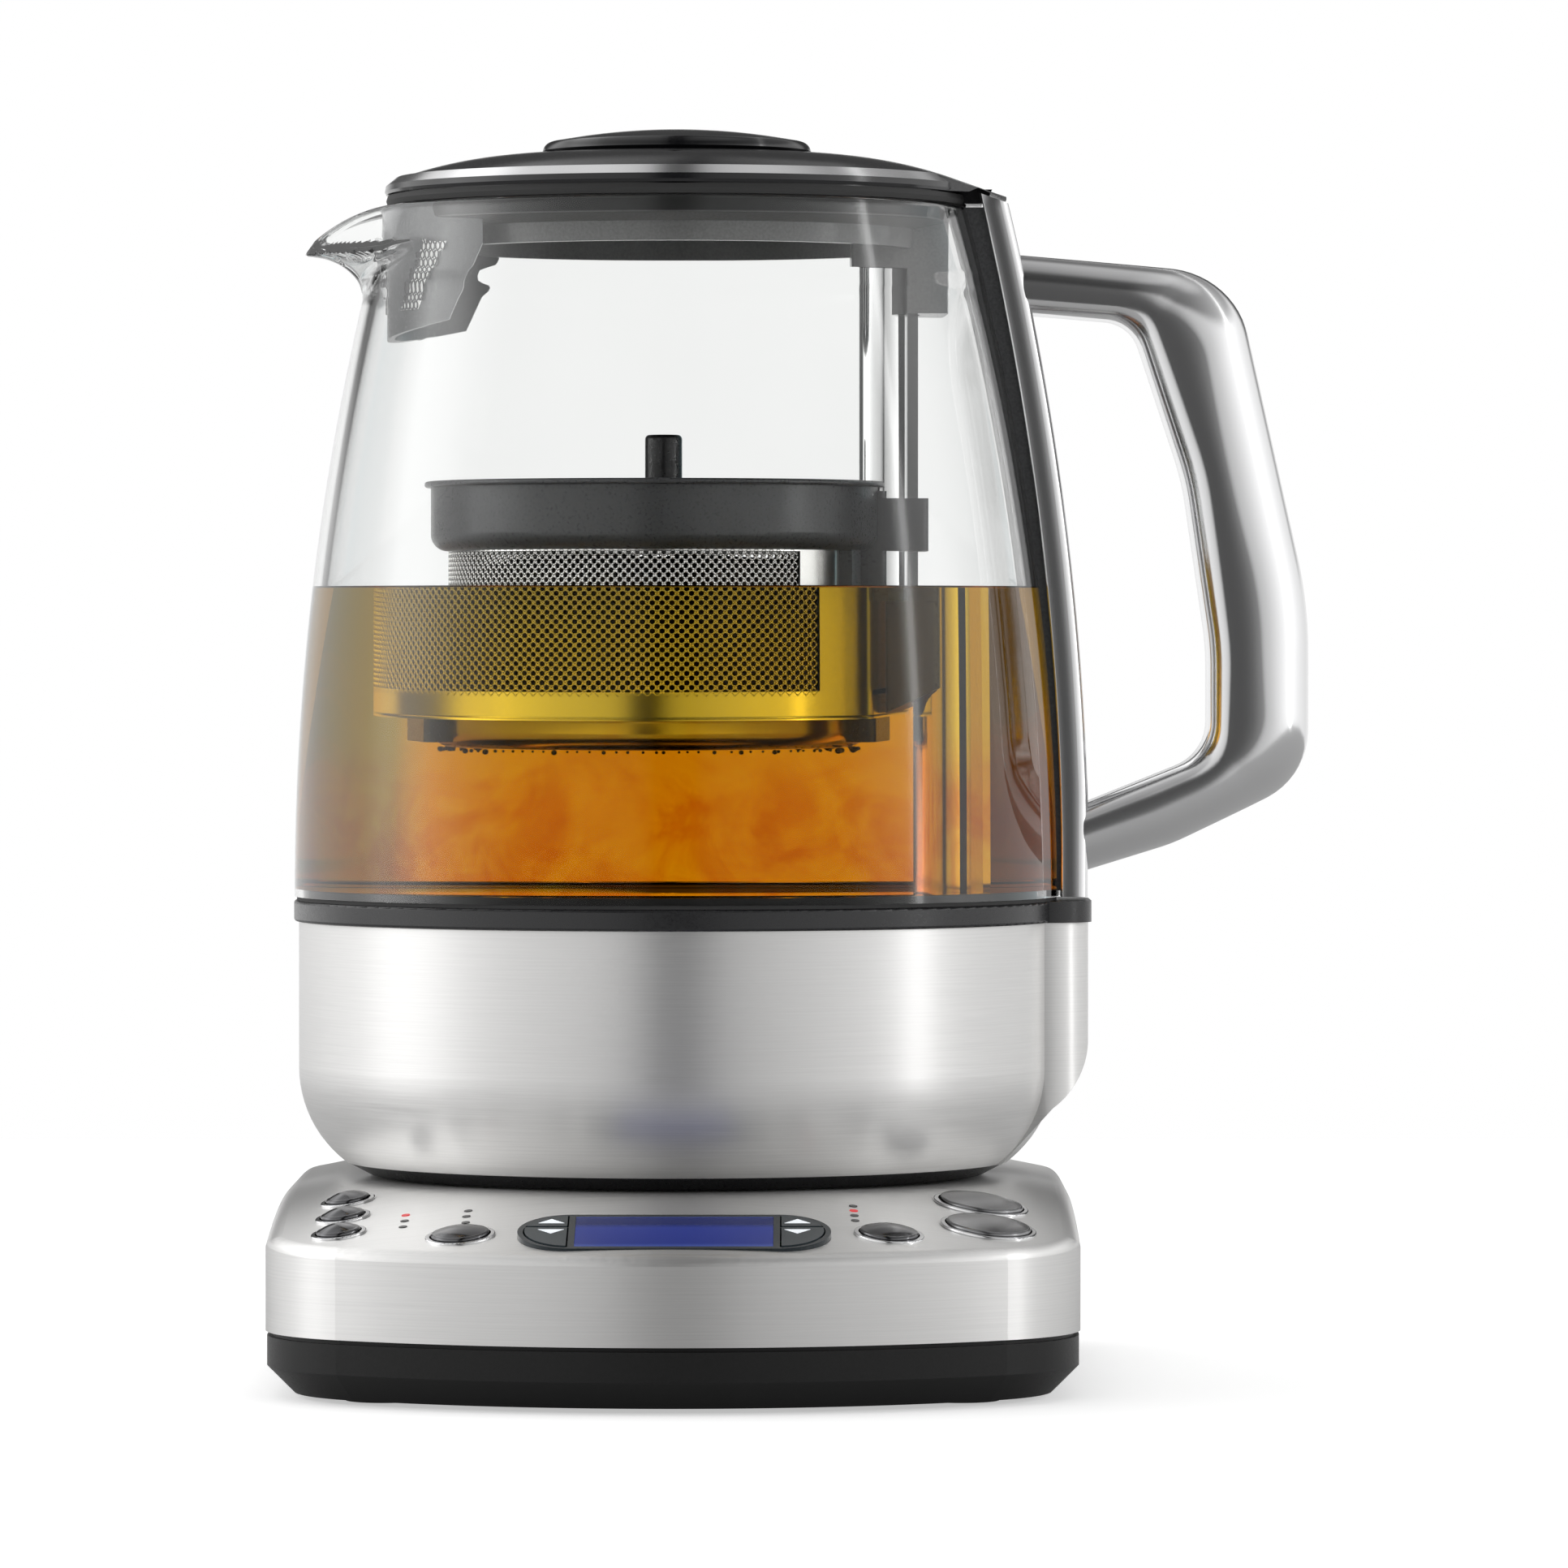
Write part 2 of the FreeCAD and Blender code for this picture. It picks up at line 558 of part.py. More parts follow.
def base_tray():
    floor = tray_floor_z()
    block = tray_block(TRAY_INSET, TRAY_BOTTOM_Z, TRAY_RIM_Z)
    neck = base_prism(GROOVE_INSET, TRAY_RIM_Z, SHELL_BOTTOM_Z)
    tongue_inset = SHELL_WALL + FIT
    tongue = base_prism(tongue_inset, SHELL_BOTTOM_Z, SHELL_BOTTOM_Z + TONGUE_HEIGHT)
    hollow = tray_block(tongue_inset + TONGUE_WALL, floor, REACH)
    tray = union(block, neck, tongue).cut(hollow)
    posts = [disc(POST_R, floor, BOARD_Z, x, y) for x, y in board_posts_at()]
    relay_posts = [disc(POST_R, floor, RELAY_BOARD_Z, x, y) for x, y in relay_posts_at()]
    flange_z = BASE_TOP_Z - CONNECTOR_FLANGE_THICK
    sump = tube(CONNECTOR_FLANGE_R, CONNECTOR_FLANGE_R - SUMP_WALL, floor, flange_z)
    tray = union(tray, *posts, *relay_posts, sump)
    holes = [disc(SCREW_R + FIT, 0.0, floor, x, y) for x, y in screw_places()]
    holes += [disc(SCREW_HEAD_R + FIT, 0.0, TRAY_BOTTOM_Z + SCREW_HEAD_H, x, y) for x, y in screw_places()]
    holes.append(rod_y(GLAND_R + FIT, BASE_BACK - GLAND_INSIDE, BASE_BACK + GLAND_PROUD, GLAND_Z))
    holes += [board_screw(x, y, FIT) for x, y in board_posts_at()]
    return tray.cut(holes)


def board_posts_at():
    for turn, from_front in BOARD_POSTS:
        angle = math.radians(turn * PANEL_CORNER)
        r = BASE_FRONT_R - from_front
        yield r * math.sin(angle), -r * math.cos(angle)


def relay_posts_at():
    inset = POST_R + 1.0
    for x in (inset - RELAY_BOARD_HALF_X, RELAY_BOARD_HALF_X - inset):
        for y in (RELAY_BOARD_FRONT_Y + inset, RELAY_BOARD_BACK_Y - inset):
            yield x, y


def board_screw(x, y, grow=0.0):
    top = BOARD_Z + BOARD_THICK
    head = disc(SMALL_HEAD_R + grow, top, top + SMALL_HEAD_H, x, y)
    return union(head, disc(SMALL_SCREW_R + grow, BOARD_Z - SMALL_SCREW_BITE, top, x, y))


def base_feet():
    places = [(x, y) for x in (-FOOT_X, FOOT_X) for y in (FOOT_FRONT_Y, FOOT_BACK_Y)]
    return group(disc(FOOT_R, 0.0, TRAY_BOTTOM_Z, x, y) for x, y in places)


def base_screws():
    def screw(x, y):
        head = disc(SCREW_HEAD_R, TRAY_BOTTOM_Z, TRAY_BOTTOM_Z + SCREW_HEAD_H, x, y)
        return union(head, disc(SCREW_R, TRAY_BOTTOM_Z + SCREW_HEAD_H, SHELL_BOTTOM_Z, x, y))
    return group([screw(x, y) for x, y in screw_places()] + [board_screw(x, y) for x, y in board_posts_at()])


def base_connector():
    """The round power connector that the jug turns on: flange, pillar and centre pin."""
    flange = disc(CONNECTOR_FLANGE_R, BASE_TOP_Z - CONNECTOR_FLANGE_THICK, BASE_TOP_Z)
    pillar = disc(CONNECTOR_R, BASE_TOP_Z, CONNECTOR_TOP_Z)
    pillar = pillar.makeFillet(1.0, edges_at(pillar, CONNECTOR_TOP_Z))
    groove = tube(CONNECTOR_GROOVE_R, CONNECTOR_PIN_R, CONNECTOR_TOP_Z - CONNECTOR_GROOVE, CONNECTOR_TOP_Z)
    return union(flange, pillar).cut(groove)


def cord_gland():
    sleeve = rod_y(GLAND_R, BASE_BACK - GLAND_INSIDE, BASE_BACK, GLAND_Z)
    collar = rod_y(GLAND_FLANGE_R, BASE_BACK, BASE_BACK + GLAND_PROUD, GLAND_Z)
    bore = rod_y(GLAND_BORE_R, BASE_BACK - GLAND_INSIDE, BASE_BACK + GLAND_PROUD, GLAND_Z)
    return union(sleeve, collar).cut(bore)


def relay_board():
    top = RELAY_BOARD_Z + BOARD_THICK
    front = RELAY_BOARD_FRONT_Y
    board = box(-RELAY_BOARD_HALF_X, RELAY_BOARD_HALF_X, front, RELAY_BOARD_BACK_Y, RELAY_BOARD_Z, top)

    def block(x0, x1, y0, y1, height):
        return box(x0, x1, front + y0, front + y1, top, top + height)
    return union(board, block(*RELAY), block(*TRANSFORMER))


# ------------------------------------------------------------- control panel
def control_board():
    board = base_prism(BOARD_EDGE, BOARD_Z, BOARD_Z + BOARD_THICK)
    board = board.common(box(-REACH, REACH, -REACH, BOARD_DEPTH - BASE_FRONT_R, 0.0, REACH))
    return board.cut([board_screw(x, y, FIT) for x, y in board_posts_at()])


def stem_end_z():
    """Height of the buttons' stem ends at rest: pressed, they would just reach their switches."""
    return BOARD_Z + BOARD_THICK + SWITCH_HEIGHT + PLUNGER_HEIGHT + TRAVEL + RUN


def stem_end_w(v):
    """The same height in the panel frame, for a stem that leans with the panel."""
    slope = math.radians(PANEL_SLOPE)
    rise = stem_end_z() + STEM_R * math.sin(slope) - PANEL_FRONT_Z - v * math.sin(slope)
    return rise / math.cos(slope)


def push_button(turn, v, r):
    """A push button: domed cap, retaining flange under its ring and stem over its switch."""
    flange_top = SLEEVE_BOTTOM_W - RUN
    flange_bottom = flange_top - FLANGE_THICK
    edge_z = CAP_PROUD - CAP_DOME
    top_r = r - CAP_EDGE_R
    cap = turned(outline(
        (0.0, flange_top), (r, flange_top), (r, edge_z - CAP_EDGE_R),
        (r - 0.3 * CAP_EDGE_R, edge_z - 0.3 * CAP_EDGE_R, top_r, edge_z), domed(top_r, edge_z, CAP_PROUD)))
    flange = disc(r + FLANGE_GROW, flange_bottom, flange_top)
    stem = disc(STEM_R, stem_end_w(v), flange_bottom)
    button = union(cap, flange, stem)
    button.translate(vec(0, v, 0))
    return on_panel(button, turn)


def button_ring(turn, v, r):
    bore_r = r + RUN
    lip = disc(bore_r + RING_LIP, 0.0, RING_PROUD, 0, v)
    lip = lip.makeFillet(RING_PROUD / 2, edges_at(lip, RING_PROUD))
    sleeve = disc(bore_r + SLEEVE_WALL, SLEEVE_BOTTOM_W, 0.0, 0, v)
    ring = union(lip, sleeve).cut(disc(bore_r, SLEEVE_BOTTOM_W, RING_PROUD, 0, v))
    return on_panel(ring, turn)


def button_rings():
    return group(button_ring(*place) for place in PUSH_BUTTONS.values())


def display_oval(grow, w0, w1):
    """The display's outline: straight above and below the window, elliptical at both ends."""
    straight = WINDOW_HALF_X + WINDOW_MARGIN
    half_v = DISPLAY_HALF_V + grow
    block = box(DISPLAY_X - straight, DISPLAY_X + straight, DISPLAY_V - half_v, DISPLAY_V + half_v, w0, w1)
    end = DISPLAY_HALF_X - straight + grow
    ends = [oval(end, half_v, w0, w1, DISPLAY_X + side * straight, DISPLAY_V) for side in (-1, 1)]
    return union(block, *ends)


def key_pad(side, row, grow, w0, w1):
    """The display's end beyond the window: side -1 left, 1 right; row 1 above the split, -1 below."""
    pad = display_oval(grow - KEY_MARGIN, w0, w1)
    split = DISPLAY_V + KEY_SPLIT_V
    xs = sorted((DISPLAY_X + side * (KEY_INNER_X - grow), DISPLAY_X + side * REACH))
    vs = sorted((split + row * (KEY_SPLIT - grow), split + row * REACH))
    return pad.common(box(xs[0], xs[1], vs[0], vs[1], w0, w1))


KEYS = {
    "left_up_key": (-1, 1),
    "left_down_key": (-1, -1),
    "right_up_key": (1, 1),
    "right_down_key": (1, -1),
}


def key_centre(side, row):
    return DISPLAY_X + side * (KEY_INNER_X + 3.2), DISPLAY_V + KEY_SPLIT_V + row * 3.9


def arrow_key(side, row):
    x, v = key_centre(side, row)
    pad = key_pad(side, row, 0.0, KEY_CAP_BOTTOM_W, KEY_PROUD)
    return on_panel(union(pad, disc(STEM_R, stem_end_w(v), KEY_CAP_BOTTOM_W, x, v)))


def window_block(grow, w0, w1):
    x0, x1 = DISPLAY_X - WINDOW_HALF_X - grow, DISPLAY_X + WINDOW_HALF_X + grow
    v0, v1 = DISPLAY_V - WINDOW_HALF_V - grow, DISPLAY_V + WINDOW_HALF_V + grow
    return box(x0, x1, v0, v1, w0, w1)


def display_bezel():
    plate = display_oval(0.0, BEZEL_BOTTOM_W, BEZEL_PROUD)
    holes = [key_pad(side, row, RUN, BEZEL_BOTTOM_W, BEZEL_PROUD) for side, row in KEYS.values()]
    holes.append(window_block(FIT, BEZEL_BOTTOM_W, BEZEL_PROUD))
    return on_panel(plate.cut(holes))


def display_window():
    return on_panel(window_block(0.0, BEZEL_PROUD - WINDOW_THICK, BEZEL_PROUD))


def display_module():
    """The lit display block, on a header strip that stands on the control board."""
    block = on_panel(window_block(-FIT, MODULE_BOTTOM_W, BEZEL_PROUD - WINDOW_THICK))
    middle_y = block.BoundBox.Center.y
    header = box(DISPLAY_X - 15.0, DISPLAY_X + 15.0, middle_y - 1.5, middle_y + 1.5,
                 BOARD_Z + BOARD_THICK, block.BoundBox.Center.z)
    return union(block, header)


def stem_ends():
    """Where each button's stem ends, over its switch."""
    for turn, v, _ in PUSH_BUTTONS.values():
        yield on_panel(Part.Vertex(0, v, stem_end_w(v)), turn).Point
    for side, row in KEYS.values():
        x, v = key_centre(side, row)
        yield on_panel(Part.Vertex(x, v, stem_end_w(v))).Point


def tact_switches():
    def switch(x, y):
        half = SWITCH_SIDE / 2
        low = BOARD_Z + BOARD_THICK
        top = low + SWITCH_HEIGHT
        body = box(x - half, x + half, y - half, y + half, low, top)
        return union(body, disc(PLUNGER_R, top, top + PLUNGER_HEIGHT, x, y))
    return group(switch(point.x, point.y) for point in stem_ends())


def indicator_lights():
    """Light pipes held in the shell's small holes."""
    def light(turn, v):
        body = disc(LIGHT_BODY_R, LIGHT_BOTTOM_W, LIGHT_SEAT_W, 0, v)
        return on_panel(union(body, disc(LIGHT_R, LIGHT_SEAT_W, LIGHT_PROUD, 0, v)), turn)
    return group(light(turn, v) for turn, v in LIGHTS)


# ----------------------------------------------------------------- jug, below
def skirt_r(z, inset=0.0):
    """Outer radius of the steel skirt at a height, on its lower curve."""
    curve = SKIRT_CURVE_R - inset
    return SKIRT_R - SKIRT_CURVE_R + math.sqrt(curve ** 2 - (SKIRT_CURVE_Z - z) ** 2)


def skirt_form(inset, z1):
    """The skirt's round body and the swelling under the handle, drawn in by an inset."""
    z0 = SKIRT_BOTTOM_Z + inset
    zm = (z0 + SKIRT_CURVE_Z) / 2
    side = SKIRT_R - inset
    body = turned(outline(
        (0.0, z0), (skirt_r(z0, inset), z0), (skirt_r(zm, inset), zm, side, SKIRT_CURVE_Z),
        (side, z1), (0.0, z1)))
    bump_x = BUMP_X - inset
    low, middle, high = (SKIRT_BOTTOM_Z + rise for rise in BUMP_RISES)
    bump = slab_y(outline(
        (0.0, z0), (skirt_r(z0, inset) - 2.0, z0), (side - 0.9, low),
        (bump_x - 1.8, middle, bump_x, high), (bump_x, z1), (0.0, z1)), BUMP_HALF_WIDTH - inset)
    return union(body, bump.common(bump_plan(inset, z0, z1)))


def bump_plan(inset, z0, z1):
    half = BUMP_HALF_WIDTH - inset
    return rounded_block(0.0, BUMP_X - inset, -half, half, z0, z1, BUMP_CORNER_R - inset)


def foot_flange_z():
    return SKIRT_BOTTOM_Z + SKIRT_WALL + FIT


def foot_flange_r():
    return skirt_r(foot_flange_z(), SKIRT_WALL) - RUN


def foot_ring_r():
    """Radius of the foot where it passes through the skirt."""
    return foot_flange_r() - FOOT_LEDGE


def jug_skirt():
    shell = skirt_form(0.0, SKIRT_TOP_Z).cut(skirt_form(SKIRT_WALL, SKIRT_TOP_Z))
    return shell.cut(disc(foot_ring_r() + RUN / 2, 0.0, SKIRT_BOTTOM_Z + SKIRT_WALL))


def jug_band():
    """Black band on the skirt's top edge, with a tongue down inside it."""
    r = SKIRT_R + BAND_LIP
    z0, z1 = SKIRT_TOP_Z, BAND_TOP_Z
    ring = disc(r, z0, z1)
    ring = ring.makeFillet(0.6, edges_at(ring, z1) + edges_at(ring, z0))
    half = BUMP_HALF_WIDTH + BAND_LIP / 2
    bump = rounded_block(0.0, BUMP_X + 0.7, -half, half, z0, z1, BUMP_CORNER_R)
    inner = disc(PLATE_R + FIT, 0.0, REACH)
    tongue = disc(SKIRT_R - SKIRT_WALL - FIT, SKIRT_TOP_Z - BAND_TONGUE, z0)
    return union(ring, bump, tongue).cut(inner)


def glass_seal():
    """Silicone ring under the foot of the glass, with an upstand between glass and heating plate."""
    flange = disc(GLASS_R - 0.5, BAND_TOP_Z, GLASS_BOTTOM_Z)
    upstand = disc(glass_r(GLASS_BOTTOM_Z, GLASS_WALL) - FIT, GLASS_BOTTOM_Z, PLATE_TOP_Z + 1.2)
    return union(flange, upstand).cut(disc(PLATE_R + FIT, 0.0, REACH))


def heating_plate():
    plate = disc(PLATE_R, PLATE_TOP_Z - PLATE_THICK, PLATE_TOP_Z)
    plate = plate.makeFillet(1.0, edges_at(plate, PLATE_TOP_Z))
    rim = tube(PLATE_R, PLATE_R - PLATE_THICK, PLATE_TOP_Z - PLATE_FLANGE, PLATE_TOP_Z - PLATE_THICK)
    return union(plate, rim).cut(disc(SCREW_SHAFT_R + 2 * RUN, 0.0, REACH, COLUMN_X))


def heating_element():
    """C-shaped sheathed bar under the plate, with two cold pins."""
    top = PLATE_TOP_Z - PLATE_THICK
    inner = ELEMENT_R - ELEMENT_WIDTH / 2
    outer = ELEMENT_R + ELEMENT_WIDTH / 2
    low = top - ELEMENT_WIDTH + 1.0
    section = outline(
        (inner, top), (outer, top), (outer, low + 2.0),
        (ELEMENT_R, low - 1.0, inner, low + 2.0))
    bar = turned(section, 360.0 - ELEMENT_OPEN)
    bar.rotate(vec(0, 0, 0), vec(0, 0, 1), ELEMENT_OPEN / 2)
    angle = math.radians(ELEMENT_OPEN / 2 + 4.0)
    x, y = ELEMENT_R * math.cos(angle), ELEMENT_R * math.sin(angle)
    pins = [disc(1.6, low - 12.0, top - 2.0, x, y * side) for side in (-1, 1)]
    return union(bar, *pins)


def temperature_sensor():
    top = PLATE_TOP_Z - PLATE_THICK
    return disc(SENSOR_R, top - SENSOR_HEIGHT, top, SENSOR_X)


def boss_places():
    r = foot_ring_r() - FOOT_RING_WIDTH / 2
    for degrees in JUG_BOSS_ANGLES:
        angle = math.radians(degrees)
        yield r * math.cos(angle), r * math.sin(angle)


def jug_foot():
    """Black underside of the jug: foot ring, floor, hub for the connector and three bosses."""
    floor_top = FOOT_FLOOR_Z + FOOT_FLOOR_THICK
    under = SKIRT_BOTTOM_Z - FIT
    ring_r = foot_ring_r()
    inner_r = ring_r - FOOT_RING_WIDTH
    ring = turned(outline(
        (inner_r, FOOT_RING_Z), (ring_r - FOOT_DRAW_IN, FOOT_RING_Z), (skirt_r(SKIRT_BOTTOM_Z) - RUN, under),
        (ring_r, under), (ring_r, floor_top), (inner_r, floor_top)))
    floor = disc(ring_r, FOOT_FLOOR_Z, floor_top)
    flange = disc(foot_flange_r(), foot_flange_z(), floor_top)
    hub_top = SOCKET_TOP_Z - SOCKET_FLANGE_THICK - RUN
    hub = disc(SOCKET_R + RUN + HUB_WALL, FOOT_RING_Z, hub_top)
    top = PLATE_TOP_Z - PLATE_THICK
    bosses = [disc(POST_R, floor_top, top, x, y) for x, y in boss_places()]
    foot = union(ring, floor, flange, hub, *bosses)
    holes = [disc(SOCKET_R + RUN, 0.0, REACH)]
    holes += [disc(SMALL_HEAD_R + FIT, 0.0, FOOT_FLOOR_Z, x, y) for x, y in boss_places()]
    return foot.cut(holes + [foot_screw(x, y, FIT) for x, y in boss_places()])


def foot_screw(x, y, grow=0.0):
    z = FOOT_FLOOR_Z
    head = disc(SMALL_HEAD_R + grow, z, z + SMALL_HEAD_H, x, y)
    return union(head, disc(SMALL_SCREW_R + grow, z + SMALL_HEAD_H, z + FOOT_SCREW_LENGTH, x, y))


def jug_socket():
    """The jug's round power socket, free to turn in the foot's hub."""
    body = disc(SOCKET_R, FOOT_RING_Z + 0.4, SOCKET_TOP_Z)
    flange = disc(SOCKET_R + SOCKET_FLANGE, SOCKET_TOP_Z - SOCKET_FLANGE_THICK, SOCKET_TOP_Z)
    recess = disc(CONNECTOR_R + RUN, 0.0, CONNECTOR_TOP_Z + RUN)
    return union(body, flange).cut(recess)


# ----------------------------------------------------------------- glass jug
def glass_r(z, inset=0.0):
    """Radius of the glass at a height, measured on a face set in from the outer one."""
    curve = GLASS_CURVE_R - inset
    return GLASS_R - GLASS_CURVE_R + math.sqrt(curve ** 2 - (z - GLASS_CURVE_Z) ** 2)


def glass_form(inset, z0, z1):
    zm = (z0 + z1) / 2
    return turned(outline(
        (0.0, z0), (glass_r(z0, inset), z0), (glass_r(zm, inset), zm, glass_r(z1, inset), z1), (0.0, z1)))


def spout_section(reach, nose_r, wall_r, z):
    """Teardrop that leaves a circle of the jug's radius along its tangents and ends in a round nose."""
    centre = reach - nose_r
    angle = math.acos((wall_r - nose_r) / centre)
    cos_a, sin_a = math.cos(angle), math.sin(angle)
    root = [vec(-wall_r * cos_a, side * wall_r * sin_a, z) for side in (1, -1)]
    nose = [vec(-centre - nose_r * cos_a, side * nose_r * sin_a, z) for side in (1, -1)]
    return Part.Wire([
        Part.makeLine(root[0], nose[0]),
        Part.Arc(nose[0], vec(-reach, 0, z), nose[1]).toShape(),
        Part.makeLine(nose[1], root[1]),
        Part.makeLine(root[1], root[0]),
    ])


def spout_form(inset):
    """The spout: its belly sweeps out to the tip, and its sides stand up to the rim."""
    rise = SPOUT_TIP_Z - SPOUT_ROOT_Z
    nose_r = SPOUT_NOSE_R - inset
    root_reach = glass_r(SPOUT_ROOT_Z) - 0.6
    sections = []
    for share in (0.0, 0.35, 0.65, 0.87, 1.0):
        z = SPOUT_ROOT_Z + rise * share + inset
        sweep = 1.0 - math.sqrt(1.0 - share ** 2)
        reach = root_reach + (SPOUT_REACH - root_reach) * sweep - inset
        sections.append(spout_section(reach, nose_r, glass_r(z, inset) - SPOUT_SINK, z))
    belly = Part.makeLoft(sections, True, True)
    top = SPOUT_TIP_Z + inset
    sides = Part.Face(spout_section(SPOUT_REACH - inset, nose_r, glass_r(top, inset) - SPOUT_SINK, top))
    return belly.fuse(sides.extrude(vec(0, 0, RIM_Z + 10.0 - top)))


def jug_glass():
    outer = glass_form(0.0, GLASS_BOTTOM_Z, RIM_Z)
    outer = outer.makeFillet(RIM_EDGE_R, edges_at(outer, RIM_Z))
    inner = glass_form(GLASS_WALL, GLASS_BOTTOM_Z - 1, RIM_Z + 1)
    lip = outline(
        (-REACH, RIM_Z + 20.0), (-REACH, SPOUT_TIP_Z - 0.4), (-SPOUT_REACH - 1.0, SPOUT_TIP_Z - 0.4),
        (-SPOUT_REACH + 6.5, RIM_Z - 2.8, -SPOUT_REACH + 22.0, RIM_Z), (0.0, RIM_Z), (0.0, RIM_Z + 20.0))
    spout = spout_form(0.0).cut(slab_y(lip, REACH))
    glass = outer.fuse(spout)
    return glass.cut([inner, spout_form(SPOUT_WALL)]).removeSplitter()


# ------------------------------------------------------------- handle, strap
def beside_glass(z, off):
    return glass_r(z) + off, z


def strap_form():
    """The steel strap's side view: an even curve up the glass, cut off square to the lid's tail."""
    foot, middle, top = GLASS_BOTTOM_Z, GLASS_BOTTOM_Z + STRAP_MIDDLE, RIM_Z + STRAP_ABOVE_RIM
    outer = [gap + thick for gap, thick in zip(STRAP_GAPS, STRAP_THICKS)]
    outer_x = GLASS_R + outer[0]
    return outline(
        (GLASS_R + STRAP_GAPS[0], foot), (outer_x, foot), (outer_x, foot + STRAP_STRAIGHT),
        beside_glass(middle, outer[1]) + beside_glass(top, outer[2]),
        beside_glass(top + STRAP_TOP_SLANT, STRAP_GAPS[2]),
        beside_glass(middle, STRAP_GAPS[1]) + (GLASS_R + STRAP_GAPS[0], foot + STRAP_STRAIGHT / 2))


def strap_screw_places():
    for rise, off in STRAP_SCREWS:
        z = GLASS_BOTTOM_Z + rise
        yield z, glass_r(z) + off


def strap_screw(z, x, grow=0.0):
    head = rod_x(STRAP_HEAD_R + grow, x - STRAP_HEAD_HEIGHT, x, z)
    return union(head, rod_x(STRAP_SCREW_R + grow, x, x + STRAP_SCREW_LENGTH, z))


def handle_spine():
    strap = slab_y(strap_form(), STRAP_HALF_WIDTH)

    def on_outer_face(edge):
        middle = edge.valueAt((edge.FirstParameter + edge.LastParameter) / 2)
        along = edge.BoundBox.YLength < FIT and edge.BoundBox.ZLength > STRAP_STRAIGHT / 2
        return along and middle.x > glass_r(middle.z) + 0.8 * STRAP_THICKS[0]
    strap = strap.makeFillet(STRAP_EDGE_R, [edge for edge in strap.Edges if on_outer_face(edge)])
    wells = [rod_x(STRAP_HEAD_R, 0.0, x, z) for z, x in strap_screw_places()]
    return strap.cut(wells + [strap_screw(z, x) for z, x in strap_screw_places()])


def spine_liner():
    """Black strip that fills the space between the glass and the strap."""
    foot, top = GLASS_BOTTOM_Z + RUN + 1.0, RIM_Z - RUN
    inner = GLASS_R + STRAP_GAPS[0]
    high = RIM_Z + STRAP_ABOVE_RIM + STRAP_TOP_SLANT
    under = slab_y(outline(
        (COLUMN_X, foot), (inner, foot), (inner, GLASS_BOTTOM_Z + STRAP_STRAIGHT / 2),
        beside_glass(GLASS_BOTTOM_Z + STRAP_MIDDLE, STRAP_GAPS[1]) + beside_glass(high, STRAP_GAPS[2]),
        (COLUMN_X, high)), LINER_HALF_WIDTH)
    strip = under.common(box(0.0, REACH, -REACH, REACH, 0.0, top))
    return strip.cut(glass_form(0.0, GLASS_BOTTOM_Z, RIM_Z + 10.0))


def grip_path(corners):
    """Points at even distances along one side view of the handle."""
    placed = [(GLASS_R + x, GLASS_BOTTOM_Z + z, r) for x, z, r in corners]
    return Part.Wire(rounded_path(placed)).discretize(Number=HANDLE_SECTIONS)


def grip_section(outside, inside):
    """Rounded cross-section of the handle through two facing points of its side view."""
    across = outside - inside
    length = across.Length
    across.normalize()
    half = HANDLE_HALF_WIDTH
    round_out = min(HANDLE_EDGE_R[0], 0.6 * length)
    round_in = min(HANDLE_EDGE_R[1], 0.3 * length)
    bow = 1.0 - math.sqrt(0.5)

    def at(u, y):
        return inside + across * u + vec(0, y, 0)

    def corner(u, sign_u, y, sign_y, r):
        """Arc from a long side round a corner, and its ends."""
        ends = at(u + sign_u * r, y), at(u, y + sign_y * r)
        return ends, Part.Arc(ends[0], at(u + sign_u * bow * r, y + sign_y * bow * r), ends[1]).toShape()
    corners = [
        corner(0.0, 1, -half, 1, round_in), corner(0.0, 1, half, -1, round_in),
        corner(length, -1, half, -1, round_out), corner(length, -1, -half, 1, round_out)]
    (a, arc_a), (b, arc_b), (c, arc_c), (d, arc_d) = corners
    return Part.Wire([
        arc_a, Part.makeLine(a[1], b[1]), arc_b, Part.makeLine(b[0], c[0]),
        arc_c, Part.makeLine(c[1], d[1]), arc_d, Part.makeLine(d[0], a[0])])


def handle():
    """D-shaped handle: full and round outside, flatter inside, cut to the strap at both roots."""
    sections = [grip_section(*pair) for pair in zip(grip_path(HANDLE_OUTER), grip_path(HANDLE_INNER))]
    solid = Part.makeLoft(sections, True)
    pieces = solid.cut(slab_y(strap_form(), REACH)).Solids
    whole = max(pieces, key=lambda piece: piece.Volume)
    return whole.cut([strap_screw(z, x) for z, x in strap_screw_places()])


def jug_screws():
    """The handle's two screws, and the three that hold the foot."""
    screws = [strap_screw(z, x) for z, x in strap_screw_places()]
    return group(screws + [foot_screw(x, y) for x, y in boss_places()])


# ---------------------------------------------------------------- lift column
def column_tube(grow, z0, z1):
    """A slice of the column's round-cornered tube, grown by an even distance."""
    half_x = COLUMN_WIDTH / 2 + grow
    half_y = COLUMN_DEPTH / 2 + grow
    return rounded_block(COLUMN_X - half_x, COLUMN_X + half_x, -half_y, half_y, z0, z1, COLUMN_EDGE_R + grow)


def column_form(grow, z0, z1):
    """The tube with the guide rail on its handle side."""
    half = RAIL_HALF_WIDTH + grow
    return union(column_tube(grow, z0, z1), box(COLUMN_X, RAIL_X + grow, -half, half, z0, z1))


def lift_column():
    form = column_form(0.0, PLATE_TOP_Z, COLUMN_TOP_Z)
    return form.cut(column_tube(-COLUMN_WALL, PLATE_TOP_Z, COLUMN_TOP_Z))


